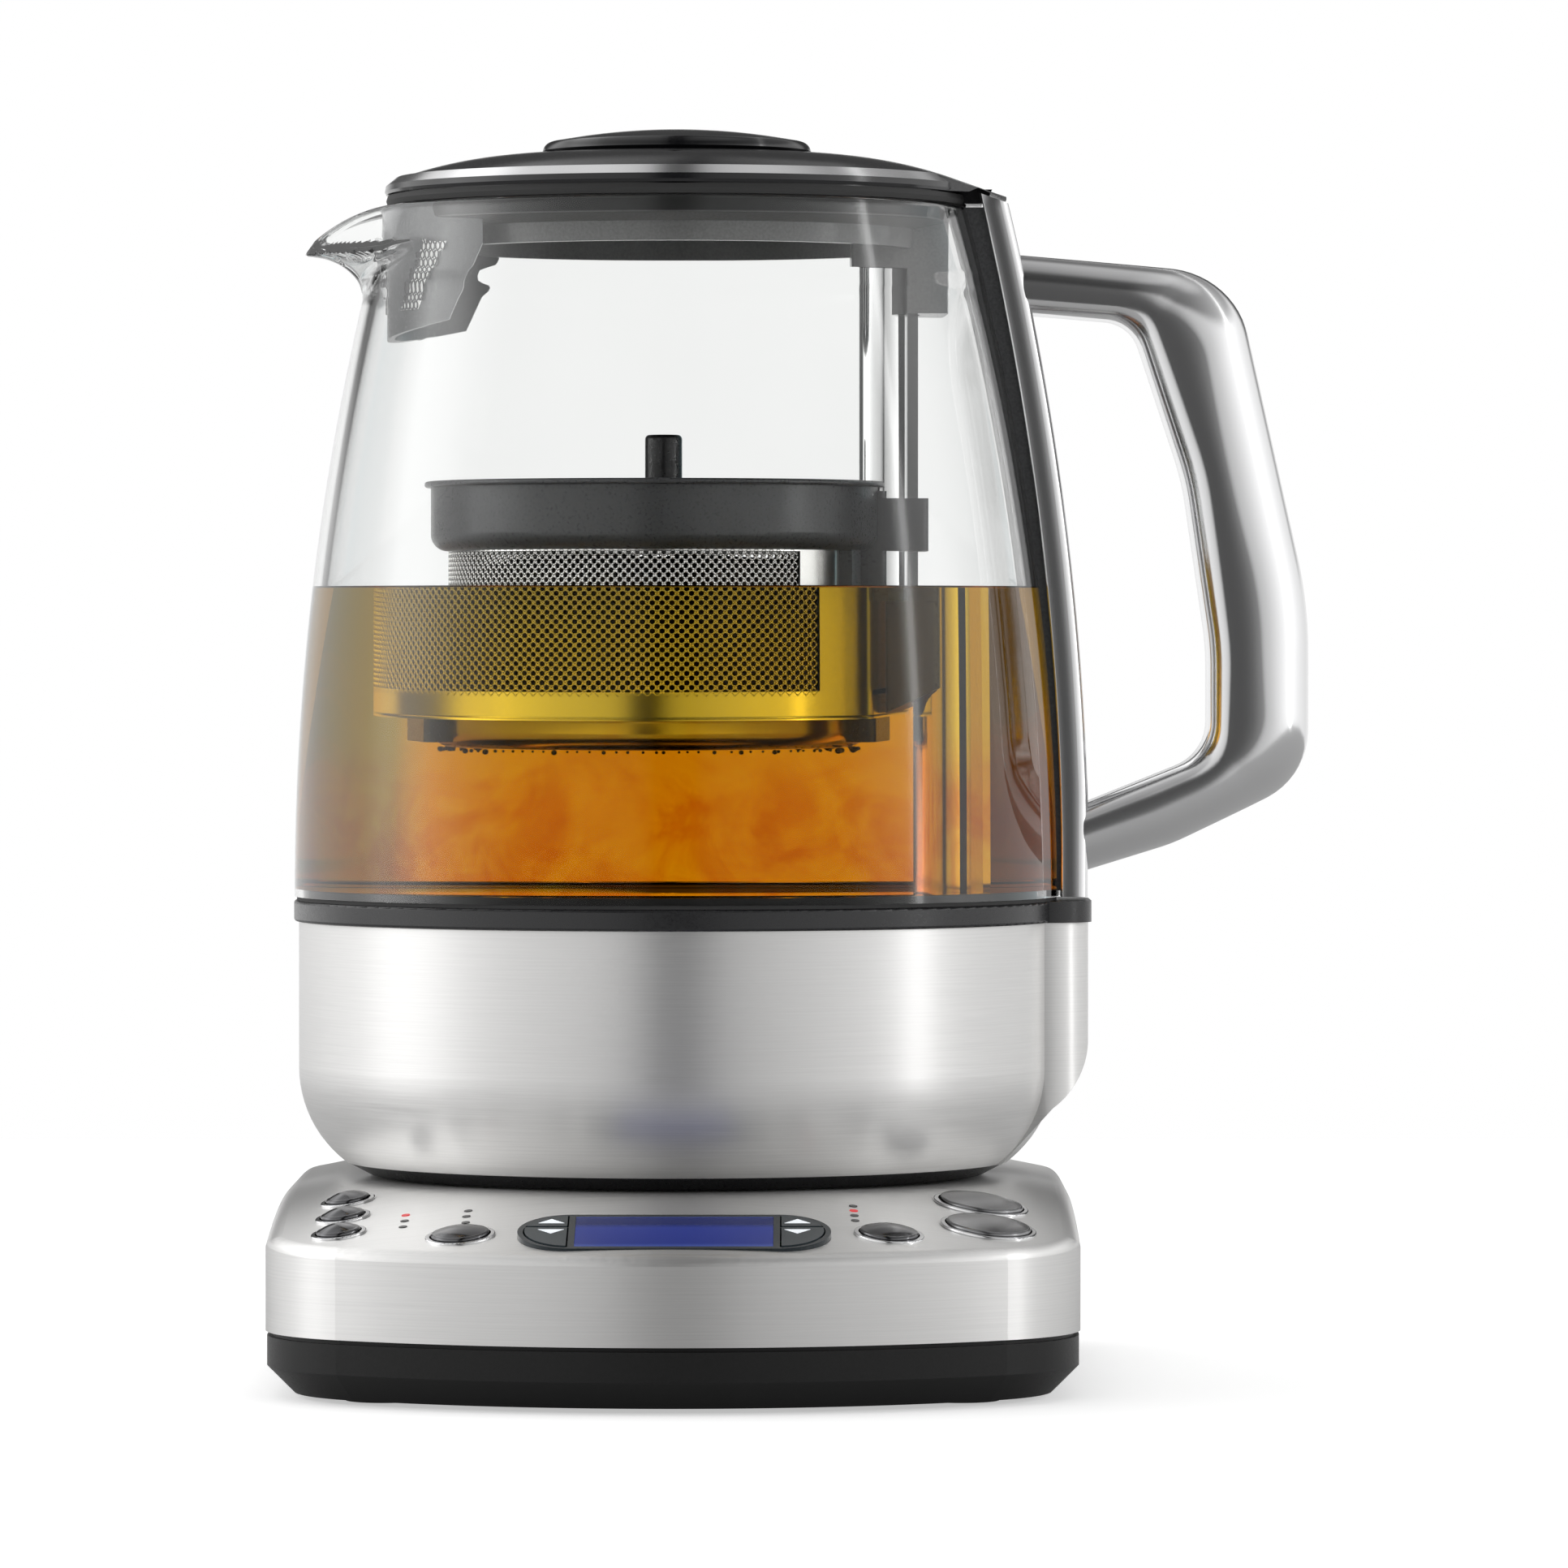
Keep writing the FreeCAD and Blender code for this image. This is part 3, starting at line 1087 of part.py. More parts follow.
def column_cap():
    lid = column_form(0.0, COLUMN_TOP_Z, COLUMN_TOP_Z + COLUMN_CAP_THICK)
    plug = column_tube(-COLUMN_WALL - FIT, COLUMN_TOP_Z - COLUMN_PLUG, COLUMN_TOP_Z)
    bore = disc(SCREW_SHAFT_R + SHAFT, 0.0, COLUMN_TOP_Z - RUN, COLUMN_X)
    return union(lid, plug).cut(bore)


def column_seal():
    block = column_tube(-COLUMN_WALL - FIT, PLATE_TOP_Z, PLATE_TOP_Z + COLUMN_SEAL_HEIGHT)
    return block.cut(disc(SCREW_SHAFT_R + SHAFT, 0.0, REACH, COLUMN_X))


def lift_screw():
    """Lead screw from the gearbox to the column's cap, with turned-down journals."""
    shaft = disc(SCREW_SHAFT_R, SCREW_BOTTOM_Z, COLUMN_TOP_Z - 2 * RUN, COLUMN_X)
    return shaft.makeChamfer(0.5, edges_at(shaft, SCREW_BOTTOM_Z))


def magnet_carriage():
    block = column_tube(-COLUMN_WALL - RUN, CARRIAGE_Z, CARRIAGE_Z + CARRIAGE_HEIGHT)
    return block.cut(disc(SCREW_SHAFT_R + SHAFT, 0.0, REACH, COLUMN_X))


def gearbox():
    top = PLATE_TOP_Z - PLATE_THICK
    x0, x1 = COLUMN_X - GEARBOX_HALF_WIDTH, COLUMN_X + GEARBOX_HALF_WIDTH
    case = rounded_block(x0, x1, -GEARBOX_HALF_DEPTH, GEARBOX_HALF_DEPTH, GEARBOX_BOTTOM_Z, top, 3.0)
    return case.cut(disc(SCREW_SHAFT_R + SHAFT, SCREW_BOTTOM_Z - RUN, REACH, COLUMN_X))


def lift_motor():
    bottom = GEARBOX_BOTTOM_Z - MOTOR_LENGTH
    can = disc(MOTOR_R, bottom, GEARBOX_BOTTOM_Z, COLUMN_X)
    can = can.makeFillet(1.5, edges_at(can, bottom))
    return union(can, disc(SCREW_SHAFT_R, bottom - 3.0, bottom + 1.0, COLUMN_X))


# ----------------------------------------------------------------- tea basket
def basket_disc(r, z0, z1):
    return disc(r, z0, z1, BASKET_X)


def basket_rim():
    """Plastic rim of the basket: lip, curved wall, and the arm and loop that run on the column."""
    z0, z1 = BASKET_RIM_BOTTOM_Z, BASKET_RIM_TOP_Z
    body = basket_disc(BASKET_RIM_R, z0, z1)
    body = body.makeFillet(BASKET_RIM_CURVE, edges_at(body, z0))
    lip = basket_disc(BASKET_LIP_R, z1 - BASKET_LIP_THICK, z1)
    lip = lip.makeFillet(0.5, edges_at(lip, z1 - BASKET_LIP_THICK) + edges_at(lip, z1))
    seat_z = z1 - BASKET_LID_THICK - LID_REST
    hollow = basket_disc(BASKET_RIM_R - BASKET_RIM_WALL, seat_z, z1 + 1)
    throat = basket_disc(CUP_R - CUP_WALL - 1.5, z0 - 1, z1)
    half = COLUMN_DEPTH / 2 + RUN + LOOP_WALL
    arm = rounded_block(ARM_X, ARM_END_X, -half, half, CUP_BOTTOM_Z, seat_z, ARM_EDGE_R)
    arm = arm.cut(slab_y(outline(
        (ARM_X, CUP_BOTTOM_Z), (ARM_END_X, CUP_BOTTOM_Z), (ARM_END_X, CUP_BOTTOM_Z + ARM_RISE)), REACH))
    loop = rounded_block(ARM_X, LOOP_END_X, -half, half, z0, LOOP_TOP_Z, ARM_EDGE_R)
    back = box(ARM_X - 2.0, ARM_X + 4.0, -2 * half, 2 * half, z0 - 12.0, z0 + 2.0)
    back = back.common(basket_disc(CUP_R + 1.2, 0.0, REACH))
    ring = union(body, lip).cut([hollow, throat])
    cup_space = d_shape(CUP_R + FIT, CUP_BACK_X + FIT, 0.0, cup_top_z() + FIT)
    solid = union(ring, arm, loop, back).cut([column_form(RUN, 0.0, REACH), cup_space])
    return solid.cut(magnet_block(FIT))


def magnet_block(grow=0.0):
    """Magnet set in the arm, facing the carriage through the column wall."""
    x1 = COLUMN_X - COLUMN_WIDTH / 2 - RUN - SKIN
    half = COLUMN_DEPTH / 2 - 1.0 + grow
    z0, z1 = MAGNET_Z - grow, MAGNET_Z + MAGNET_HEIGHT + grow
    return box(ARM_X + SKIN - grow, x1 + grow, -half, half, z0, z1)


def d_shape(r, back_x, z0, z1):
    """A round slice with a flat back towards the column."""
    return basket_disc(r, z0, z1).common(box(-REACH, back_x, -REACH, REACH, z0, z1))


def cup_top_z():
    return BASKET_RIM_TOP_Z - BASKET_LID_THICK - LID_REST - 2.0


def basket_cup():
    top = cup_top_z()
    wall = d_shape(CUP_R, CUP_BACK_X, CUP_BOTTOM_Z, top)
    wall = wall.cut(d_shape(CUP_R - CUP_WALL, CUP_BACK_X - CUP_WALL, CUP_BOTTOM_Z, top))
    return union(wall, basket_dish())


def basket_dish():
    """Pressed round dish that closes the cup from below, on a flange as wide as the cup."""
    low = CUP_BOTTOM_Z - DISH_DEPTH
    dish = basket_disc(DISH_R, low, CUP_BOTTOM_Z)
    dish = dish.makeFillet(DISH_EDGE_R, edges_at(dish, low))
    hollow = basket_disc(DISH_R - CUP_WALL, low + CUP_WALL, REACH)
    hollow = hollow.makeFillet(DISH_EDGE_R - CUP_WALL, edges_at(hollow, low + CUP_WALL))
    flange = d_shape(CUP_R, CUP_BACK_X, CUP_BOTTOM_Z - CUP_WALL, CUP_BOTTOM_Z)
    return union(dish, flange).cut(hollow)


def dish_clips():
    """Hinge and catch of the dish, on the flange's underside beside it."""
    z0, z1 = CUP_BOTTOM_Z - CUP_WALL - CLIP_DEPTH, CUP_BOTTOM_Z - CUP_WALL
    clips = []
    for side in (-1, 1):
        xs = sorted((BASKET_X + side * (DISH_R - CLIP_LENGTH), BASKET_X + side * (DISH_R + CLIP_LENGTH)))
        block = rounded_block(*xs, -CLIP_HALF_WIDTH, CLIP_HALF_WIDTH, z0, z1, 1.5)
        clips.append(block.cut(basket_disc(DISH_R + FIT, 0.0, REACH)))
    return group(clips)


def basket_lid():
    z0 = BASKET_RIM_TOP_Z - BASKET_LID_THICK
    plate = basket_disc(BASKET_RIM_R - BASKET_RIM_WALL - RUN, z0, BASKET_RIM_TOP_Z)
    half = COLUMN_DEPTH / 2 + LOOP_WALL + 2 * RUN
    notch = box(ARM_X - RUN, REACH, -half, half, 0.0, REACH)
    return plate.cut(notch)


def basket_lid_knob():
    top = BASKET_RIM_TOP_Z + BASKET_LID_KNOB_HEIGHT
    stalk = disc(BASKET_LID_KNOB_R, BASKET_RIM_TOP_Z, top, BASKET_LID_KNOB_X)
    return stalk.makeFillet(1.0, edges_at(stalk, top))


# ------------------------------------------------------------------------ lid
def tail_plan(grow):
    """Plan of the lid's tail: wide at the lid's edge, strap-wide at its end."""
    root = TAIL_ROOT_X - TAIL_ROOT
    half = [
        (root, -TAIL_ROOT_HALF_WIDTH), (TAIL_ROOT_X, -TAIL_ROOT_HALF_WIDTH), (TAIL_X, -TAIL_HALF_WIDTH)]
    points = [vec(x, y, 0.0) for x, y in half] + [vec(x, -y, 0.0) for x, y in reversed(half)]
    face = Part.Face(Part.makePolygon(points + points[:1]))
    if grow:
        face = face.makeOffset2D(grow)
    return face.extrude(vec(0, 0, REACH))


def cover_rim_r():
    return LID_TRIM_TOP_R - LID_TRIM_THICK - FIT


def dome_step():
    """The arc step from the cover's rim up to the knob."""
    middle_r = LID_DOME_R + 0.58 * (cover_rim_r() - LID_DOME_R)
    return middle_r, LID_TRIM_TOP_Z + 0.66 * LID_DOME_RISE, LID_DOME_R, LID_DOME_Z


def lid_tail():
    """Tail that carries the cover's slope on past the trim and out over the strap."""
    low = LID_EDGE_Z
    slope = TAIL_DROP / (TAIL_X - cover_rim_r())
    far = 2 * TAIL_X
    crest = turned(outline(
        (0.0, low - TAIL_DROP), (far, low - TAIL_DROP), (far, LID_TRIM_TOP_Z - slope * (far - cover_rim_r())),
        (cover_rim_r(), LID_TRIM_TOP_Z), dome_step(), (0.0, LID_DOME_Z)))
    end_z = LID_TRIM_TOP_Z - TAIL_DROP - TAIL_THICK
    root = TAIL_ROOT_X - TAIL_ROOT
    side = outline(
        (root, low + 2.0), (root, KNOB_TOP_Z), (TAIL_X, KNOB_TOP_Z), (TAIL_X, end_z),
        (LID_R + 1.7, low + 0.9), (LID_R - 0.3, low), (LID_R - 4.8, low))
    return slab_y(side, TAIL_X).common(tail_plan(0.0)).common(crest)


def lid_edge():
    """Black edge ring of the lid, with the tail that runs out over the strap."""
    low = LID_PLATE_Z + LID_PLATE_THICK
    inner, land = LID_R - LID_EDGE_WIDTH, LID_R - LID_EDGE_LAND
    ring = turned(outline(
        (inner, low), (land, low), (land, LID_EDGE_Z), (LID_R - 0.3, LID_EDGE_Z),
        (LID_R, LID_EDGE_Z + 0.6), (LID_R - 0.2, LID_TRIM_Z), (inner, LID_TRIM_Z)))
    return union(ring, lid_tail())


def lid_trim():
    """Steel band that slopes from the lid's edge up to the dome."""
    low_r = LID_R - 0.2
    ring = turned(outline(
        (low_r, LID_TRIM_Z), (LID_TRIM_TOP_R, LID_TRIM_TOP_Z),
        (LID_TRIM_TOP_R - LID_TRIM_THICK, LID_TRIM_TOP_Z - 0.4), (low_r - 2.4, LID_TRIM_Z)))
    return ring.cut(tail_plan(FIT))


def lid_cover():
    """Domed top of the lid, hollow underneath."""
    rim = cover_rim_r()
    low = LID_TRIM_Z
    under = rim - 1.2
    dome = turned(outline(
        (0.0, low), (under, low), (rim, LID_TRIM_TOP_Z - 0.4), (rim, LID_TRIM_TOP_Z),
        dome_step(), (0.0, LID_DOME_Z)))
    hollow = turned(outline(
        (0.0, low - 1), (under - LID_SHELL, low - 1), (under - LID_SHELL, low + 0.8),
        (LID_DOME_R, LID_DOME_Z - LID_SHELL), (0.0, LID_DOME_Z - LID_SHELL)))
    floor = LID_PLATE_Z + LID_PLATE_THICK
    bosses = [disc(POST_R, floor, LID_DOME_Z - 1.0, x, y) for x, y in lid_screw_places()]
    shell = union(dome.cut(hollow), *bosses)
    return shell.cut([tail_plan(FIT)] + [lid_screw(x, y) for x, y in lid_screw_places()])


def lid_knob():
    z0 = LID_DOME_Z
    top_r = KNOB_R - 2.2
    return turned(outline(
        (0.0, z0), (KNOB_R - 1.0, z0), (KNOB_R, z0 + 1.0),
        (KNOB_R - 0.4, KNOB_EDGE_Z - 1.0, top_r, KNOB_EDGE_Z), domed(top_r, KNOB_EDGE_Z, KNOB_TOP_Z)))


def lid_screw_places():
    for degrees in (90.0, 180.0, 270.0):
        angle = math.radians(degrees)
        yield LID_SCREW_AT * math.cos(angle), LID_SCREW_AT * math.sin(angle)


def lid_screw(x, y, grow=0.0):
    low = LID_PLATE_Z
    head = disc(SCREW_HEAD_R - 0.6 + grow, low, low + 1.0, x, y)
    return union(head, disc(1.1 + grow, low + 1.0, low + 6.5, x, y))


def lid_screws():
    return group(lid_screw(x, y) for x, y in lid_screw_places())


def lid_skirt():
    """Grey underside of the lid: plate, plug, inner skirt and the bracket over the column's top."""
    top = LID_PLATE_Z + LID_PLATE_THICK
    inner_r = LID_SKIRT_R - LID_SKIRT_WALL
    cup = turned(outline(
        (0.0, top), (LID_PLUG_R + 0.6, top), (LID_PLUG_R, LID_PLUG_Z), (LID_SKIRT_R + 0.4, LID_PLUG_Z - 1.5),
        (LID_SKIRT_R, LID_SKIRT_Z), (inner_r, LID_SKIRT_Z), (inner_r, LID_PLATE_Z), (0.0, LID_PLATE_Z)))
    half = BRACKET_HALF_WIDTH
    block = rounded_block(BRACKET_X, BRACKET_STEP_X + 2.0, -half, half, BRACKET_Z, LID_PLATE_Z, 1.0)
    hook = box(BRACKET_STEP_X, BRACKET_END_X, -half, half, BRACKET_LOW_Z, LID_PLUG_Z + 1.0)
    hook = hook.common(disc(LID_PLUG_R, 0.0, REACH))
    slack = RUN + 0.1
    room = column_form(slack, 0.0, COLUMN_TOP_Z + COLUMN_CAP_THICK + slack)
    screws = [lid_screw(x, y, FIT) for x, y in lid_screw_places()]
    return union(cup, block, hook).cut([room, filter_form(FIT)] + screws)


def lid_seal():
    """Black silicone ring round the lid's plate, over the rim of the glass."""
    z1 = LID_PLATE_Z + LID_PLATE_THICK
    ring = turned(outline(
        (LID_PLUG_R + 0.6 + FIT, LID_PLATE_Z), (LID_R - 0.6, LID_PLATE_Z), (LID_R - 0.3, LID_PLATE_Z + 1.0),
        (LID_R - 0.6, z1), (LID_PLUG_R + 0.6 + FIT, z1)))
    return ring


def filter_form(grow):
    """The filter's curved wall, between its slanted ends."""
    low = LID_PLATE_Z - FILTER_DEPTH
    ring = disc(FILTER_R + grow, low, LID_PLATE_Z, FILTER_X)
    ring = ring.cut(disc(FILTER_R - FILTER_WALL - grow, 0.0, REACH, FILTER_X))
    front, bend, back = (FILTER_X - FILTER_R + run for run in FILTER_RUNS)
    side = slab_y(outline(
        (-REACH, LID_PLATE_Z), (-REACH, low), (front, low), (bend, low + 3.6),
        (back + grow, LID_PLATE_Z - 9.4), (back + grow, LID_PLATE_Z)), REACH)
    return ring.common(side)


def filter_windows():
    """Slots through the filter's curved wall: an upright one in front, a leaning one at each side."""
    r = WINDOW_WIDTH / 2
    reach = WINDOW_LENGTH / 2 - r
    windows = []
    for side in (-1, 0, 1):
        slot = outline((-r, -reach), (0.0, -reach - r, r, -reach), (r, reach), (0.0, reach + r, -r, reach))
        window = slab_y(slot, FILTER_R / 4)
        window.rotate(vec(0, 0, 0), vec(0, 1, 0), -side * WINDOW_LEAN)
        window.rotate(vec(0, 0, 0), vec(0, 0, 1), 90.0)
        window.translate(vec(-FILTER_R, 0, LID_PLATE_Z - WINDOW_DEPTH))
        window.rotate(vec(0, 0, 0), vec(0, 0, 1), side * FILTER_TURN)
        window.translate(vec(FILTER_X, 0, 0))
        windows.append(window)
    return windows


def spout_filter():
    return filter_form(0.0).cut(filter_windows())


def filter_mesh():
    """Fine steel mesh set in the filter's windows."""
    r = FILTER_R - FILTER_WALL / 2
    sheet = tube(r + FILTER_MESH / 2, r - FILTER_MESH / 2, 0.0, LID_PLATE_Z, FILTER_X)
    return group(sheet.common(window) for window in filter_windows())


# ------------------------------------------------------------------- assembly
def all_parts():
    parts = {
        "base_shell": base_shell(),
        "base_tray": base_tray(),
        "base_feet": base_feet(),
        "base_screws": base_screws(),
        "base_connector": base_connector(),
        "cord_gland": cord_gland(),
        "relay_board": relay_board(),
        "control_board": control_board(),
        "tact_switches": tact_switches(),
        "button_rings": button_rings(),
        "display_bezel": display_bezel(),
        "display_window": display_window(),
        "display_module": display_module(),
        "indicator_lights": indicator_lights(),
        "jug_socket": jug_socket(),
        "jug_foot": jug_foot(),
        "jug_skirt": jug_skirt(),
        "jug_band": jug_band(),
        "glass_seal": glass_seal(),
        "heating_plate": heating_plate(),
        "heating_element": heating_element(),
        "temperature_sensor": temperature_sensor(),
        "jug_glass": jug_glass(),
        "handle_spine": handle_spine(),
        "spine_liner": spine_liner(),
        "handle": handle(),
        "jug_screws": jug_screws(),
        "lift_motor": lift_motor(),
        "gearbox": gearbox(),
        "lift_column": lift_column(),
        "column_cap": column_cap(),
        "column_seal": column_seal(),
        "lift_screw": lift_screw(),
        "magnet_carriage": magnet_carriage(),
        "basket_rim": basket_rim(),
        "basket_cup": basket_cup(),
        "dish_clips": dish_clips(),
        "basket_magnet": magnet_block(),
        "basket_lid": basket_lid(),
        "basket_lid_knob": basket_lid_knob(),
        "lid_cover": lid_cover(),
        "lid_trim": lid_trim(),
        "lid_edge": lid_edge(),
        "lid_knob": lid_knob(),
        "lid_skirt": lid_skirt(),
        "lid_seal": lid_seal(),
        "lid_screws": lid_screws(),
        "spout_filter": spout_filter(),
        "filter_mesh": filter_mesh(),
    }
    for name, (turn, v, r) in PUSH_BUTTONS.items():
        parts[name] = push_button(turn, v, r)
    for name, (side, row) in KEYS.items():
        parts[name] = arrow_key(side, row)
    return parts


def main():
    os.makedirs("parts", exist_ok=True)
    for name, shape in all_parts().items():
        shape.exportStep(f"parts/{name}.step")
        print(f"{name}: {len(shape.Solids)} solids, {shape.Volume / 1000:.2f} cm3, valid {shape.isValid()}")


main()
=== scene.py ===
"""Looks of the automatic tea maker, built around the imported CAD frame.

Shapes are given in millimetres, and piece() turns them into metres. The looks, the studio and
the camera are in metres.
"""

import math

import bmesh
import bpy
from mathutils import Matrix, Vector


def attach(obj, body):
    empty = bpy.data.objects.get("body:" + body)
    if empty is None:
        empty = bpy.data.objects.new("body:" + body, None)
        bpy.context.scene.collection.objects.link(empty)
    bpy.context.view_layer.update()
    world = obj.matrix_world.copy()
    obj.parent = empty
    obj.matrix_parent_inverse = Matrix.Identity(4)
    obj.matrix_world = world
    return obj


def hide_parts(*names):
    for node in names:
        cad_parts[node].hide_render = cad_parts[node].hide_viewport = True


MM = 0.001

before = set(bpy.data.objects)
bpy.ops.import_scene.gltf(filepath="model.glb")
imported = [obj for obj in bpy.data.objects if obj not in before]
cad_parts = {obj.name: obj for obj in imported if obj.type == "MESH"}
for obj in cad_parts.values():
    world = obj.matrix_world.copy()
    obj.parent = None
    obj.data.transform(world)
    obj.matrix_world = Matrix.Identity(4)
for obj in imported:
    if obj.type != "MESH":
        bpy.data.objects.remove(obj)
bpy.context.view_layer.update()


# ---------------------------------------------------------------- node helpers
NOISE_SPAN = (0.3, 0.7)      # most of a noise's values lie in this span


def add(tree, kind, inputs=None, **attrs):
    """A node with its settings, and its inputs linked where they are sockets and set where not."""
    node = tree.nodes.new(kind)
    for key, value in attrs.items():
        setattr(node, key, value)
    for key, value in (inputs or {}).items():
        if isinstance(value, bpy.types.NodeSocket):
            tree.links.new(value, node.inputs[key])
        else:
            node.inputs[key].default_value = value
    return node


def material(name, **sockets):
    """A Principled material; underscores in the names stand for spaces."""
    mat = bpy.data.materials.new(name)
    mat.use_nodes = True
    tree = mat.node_tree
    shader = tree.nodes["Principled BSDF"]
    for key, value in sockets.items():
        shader.inputs[key.replace("_", " ")].default_value = value
    return mat, tree, shader


def grey(value):
    return (value, value, value, 1.0)


def ramp(tree, fac, stops):
    node = add(tree, "ShaderNodeValToRGB", {"Fac": fac})
    elements = node.color_ramp.elements
    while len(elements) < len(stops):
        elements.new(0.5)
    for element, (position, colour) in zip(elements, stops):
        element.position = position
        element.color = colour
    return node.outputs["Color"]


def math_node(tree, operation, *values):
    return add(tree, "ShaderNodeMath", dict(enumerate(values)), operation=operation).outputs[0]


def mix(tree, factor, first, second, blend_type="MIX"):
    return add(tree, "ShaderNodeMix", {0: factor, 6: first, 7: second},
               data_type="RGBA", blend_type=blend_type).outputs[2]


def map_range(tree, value, span, to_low, to_high):
    return add(tree, "ShaderNodeMapRange", {
        "Value": value, "From Min": span[0], "From Max": span[1],
        "To Min": to_low, "To Max": to_high}).outputs[0]


def object_xyz(tree):
    coords = add(tree, "ShaderNodeTexCoord").outputs["Object"]
    return add(tree, "ShaderNodeSeparateXYZ", {0: coords}).outputs


def object_noise(tree, scale, detail=2.0):
    coords = add(tree, "ShaderNodeTexCoord").outputs["Object"]
    return add(tree, "ShaderNodeTexNoise", {
        "Vector": coords, "Scale": scale, "Detail": detail}).outputs["Fac"]


def varied(tree, noise, colour, spread):
    """Colour that follows a noise, from a little darker to a little lighter."""
    low = tuple(c * (1.0 - spread) for c in colour) + (1.0,)
    high = tuple(min(1.0, c * (1.0 + spread)) for c in colour) + (1.0,)
    return ramp(tree, noise, [(NOISE_SPAN[0], low), (NOISE_SPAN[1], high)])


def bump(tree, shader, height, strength):
    node = add(tree, "ShaderNodeBump", {"Strength": strength, "Distance": 0.02 * MM, "Height": height})
    tree.links.new(node.outputs[0], shader.inputs["Normal"])


# ------------------------------------------------------------------- materials
STEEL = (0.80, 0.795, 0.785)
BRUSHED_ROUGH = (0.36, 0.46)
LINES_PER_METRE = 2600.0     # fineness of the brushing


def streaks(tree, along, across, along_scale):
    """Noise drawn out along one direction, as brushing leaves it."""
    vector = add(tree, "ShaderNodeCombineXYZ", {
        0: math_node(tree, "MULTIPLY", along, along_scale),
        1: math_node(tree, "MULTIPLY", across, LINES_PER_METRE)})
    noise = add(tree, "ShaderNodeTexNoise", {
        "Vector": vector.outputs[0], "Scale": 1.0, "Detail": 4.0, "Roughness": 0.65})
    return noise.outputs["Fac"]


def finish_brushed(tree, shader, lines):
    shader.inputs["Anisotropic"].default_value = 0.75
    shader.inputs["Anisotropic Rotation"].default_value = 0.25
    tree.links.new(varied(tree, lines, STEEL, 0.05), shader.inputs["Base Color"])
    tree.links.new(map_range(tree, lines, NOISE_SPAN, *BRUSHED_ROUGH), shader.inputs["Roughness"])
    bump(tree, shader, lines, 0.12)


def brushed_round(name):
    """Steel brushed around the vertical axis."""
    mat, tree, shader = material(name, Metallic=1.0)
    x, y, z = object_xyz(tree)
    angle = math_node(tree, "ARCTAN2", x, math_node(tree, "MULTIPLY", y, -1.0))
    finish_brushed(tree, shader, streaks(tree, angle, z, 3.0))
    return mat


def brushed_base(name):
    """Steel brushed along X: level lines on the walls, left to right on top."""
    mat, tree, shader = material(name, Metallic=1.0)
    x, y, z = object_xyz(tree)
    normal = add(tree, "ShaderNodeTexCoord").outputs["Normal"]
    facing = add(tree, "ShaderNodeSeparateXYZ", {0: normal})
    on_top = math_node(tree, "GREATER_THAN", facing.outputs[2], 0.7)
    across = add(tree, "ShaderNodeMix", {0: on_top, 2: z, 3: y}, data_type="FLOAT")
    finish_brushed(tree, shader, streaks(tree, x, across.outputs[0], 26.0))
    return mat


def satin_metal(name, colour, rough):
    """Fine-grained metal without direction."""
    mat, tree, shader = material(name, Metallic=1.0, Roughness=rough)
    noise = object_noise(tree, 5000.0, 1.0)
    tree.links.new(varied(tree, noise, colour, 0.012), shader.inputs["Base Color"])
    return mat


def moulded(name, colour, rough, spread=0.15, grain=1800.0, **sockets):
    """Moulded plastic or rubber: an even colour with a fine grain."""
    mat, tree, shader = material(name, **sockets)
    noise = object_noise(tree, grain)
    tree.links.new(varied(tree, noise, colour, spread), shader.inputs["Base Color"])
    tree.links.new(map_range(tree, noise, NOISE_SPAN, rough - 0.04, rough + 0.04), shader.inputs["Roughness"])
    bump(tree, shader, noise, 0.05)
    return mat


def clear_glass(name, colour=(0.945, 0.95, 0.945)):
    """Glass with quiet reflections where it faces the viewer, and full ones towards its edges."""
    mat, tree, shader = material(name, Roughness=0.0, IOR=1.48, Transmission_Weight=1.0)
    facing = add(tree, "ShaderNodeLayerWeight", {"Blend": 0.5}).outputs["Facing"]
    tint = ramp(tree, facing, [(0.10, grey(0.08)), (0.30, grey(1.0))])
    tree.links.new(tint, shader.inputs["Specular Tint"])
    faint = tuple(c * 0.99 for c in colour) + (1.0,)
    body = ramp(tree, object_noise(tree, 30.0), [(NOISE_SPAN[0], faint), (NOISE_SPAN[1], colour + (1.0,))])
    tree.links.new(body, shader.inputs["Base Color"])
    return mat


def tea_material(name):
    """Tea: clear olive amber at the basket, cloudier and more orange below it."""
    mat, tree, shader = material(name, Roughness=0.0, IOR=1.333, Specular_Tint=grey(0.15),
                                 Transmission_Weight=1.0)
    coords = add(tree, "ShaderNodeTexCoord").outputs["Object"]
    clouds = add(tree, "ShaderNodeTexNoise", {
        "Vector": coords, "Scale": 55.0, "Detail": 7.0, "Roughness": 0.62, "Distortion": 0.8}).outputs["Fac"]
    cloudy = ramp(tree, clouds, [(0.40, (0.80, 0.44, 0.30, 1.0)), (0.52, (0.95, 0.80, 0.60, 1.0)),
                                 (0.62, (1.0, 1.0, 0.90, 1.0))])
    above = map_range(tree, object_xyz(tree)[2], (0.120, 0.134), 0.0, 1.0)
    tree.links.new(mix(tree, above, cloudy, (0.94, 1.0, 0.90, 1.0)), shader.inputs["Base Color"])
    volume = add(tree, "ShaderNodeVolumeAbsorption", {"Color": (0.93, 0.79, 0.04, 1.0), "Density": 50.0})
    tree.links.new(volume.outputs[0], tree.nodes["Material Output"].inputs["Volume"])
    return mat


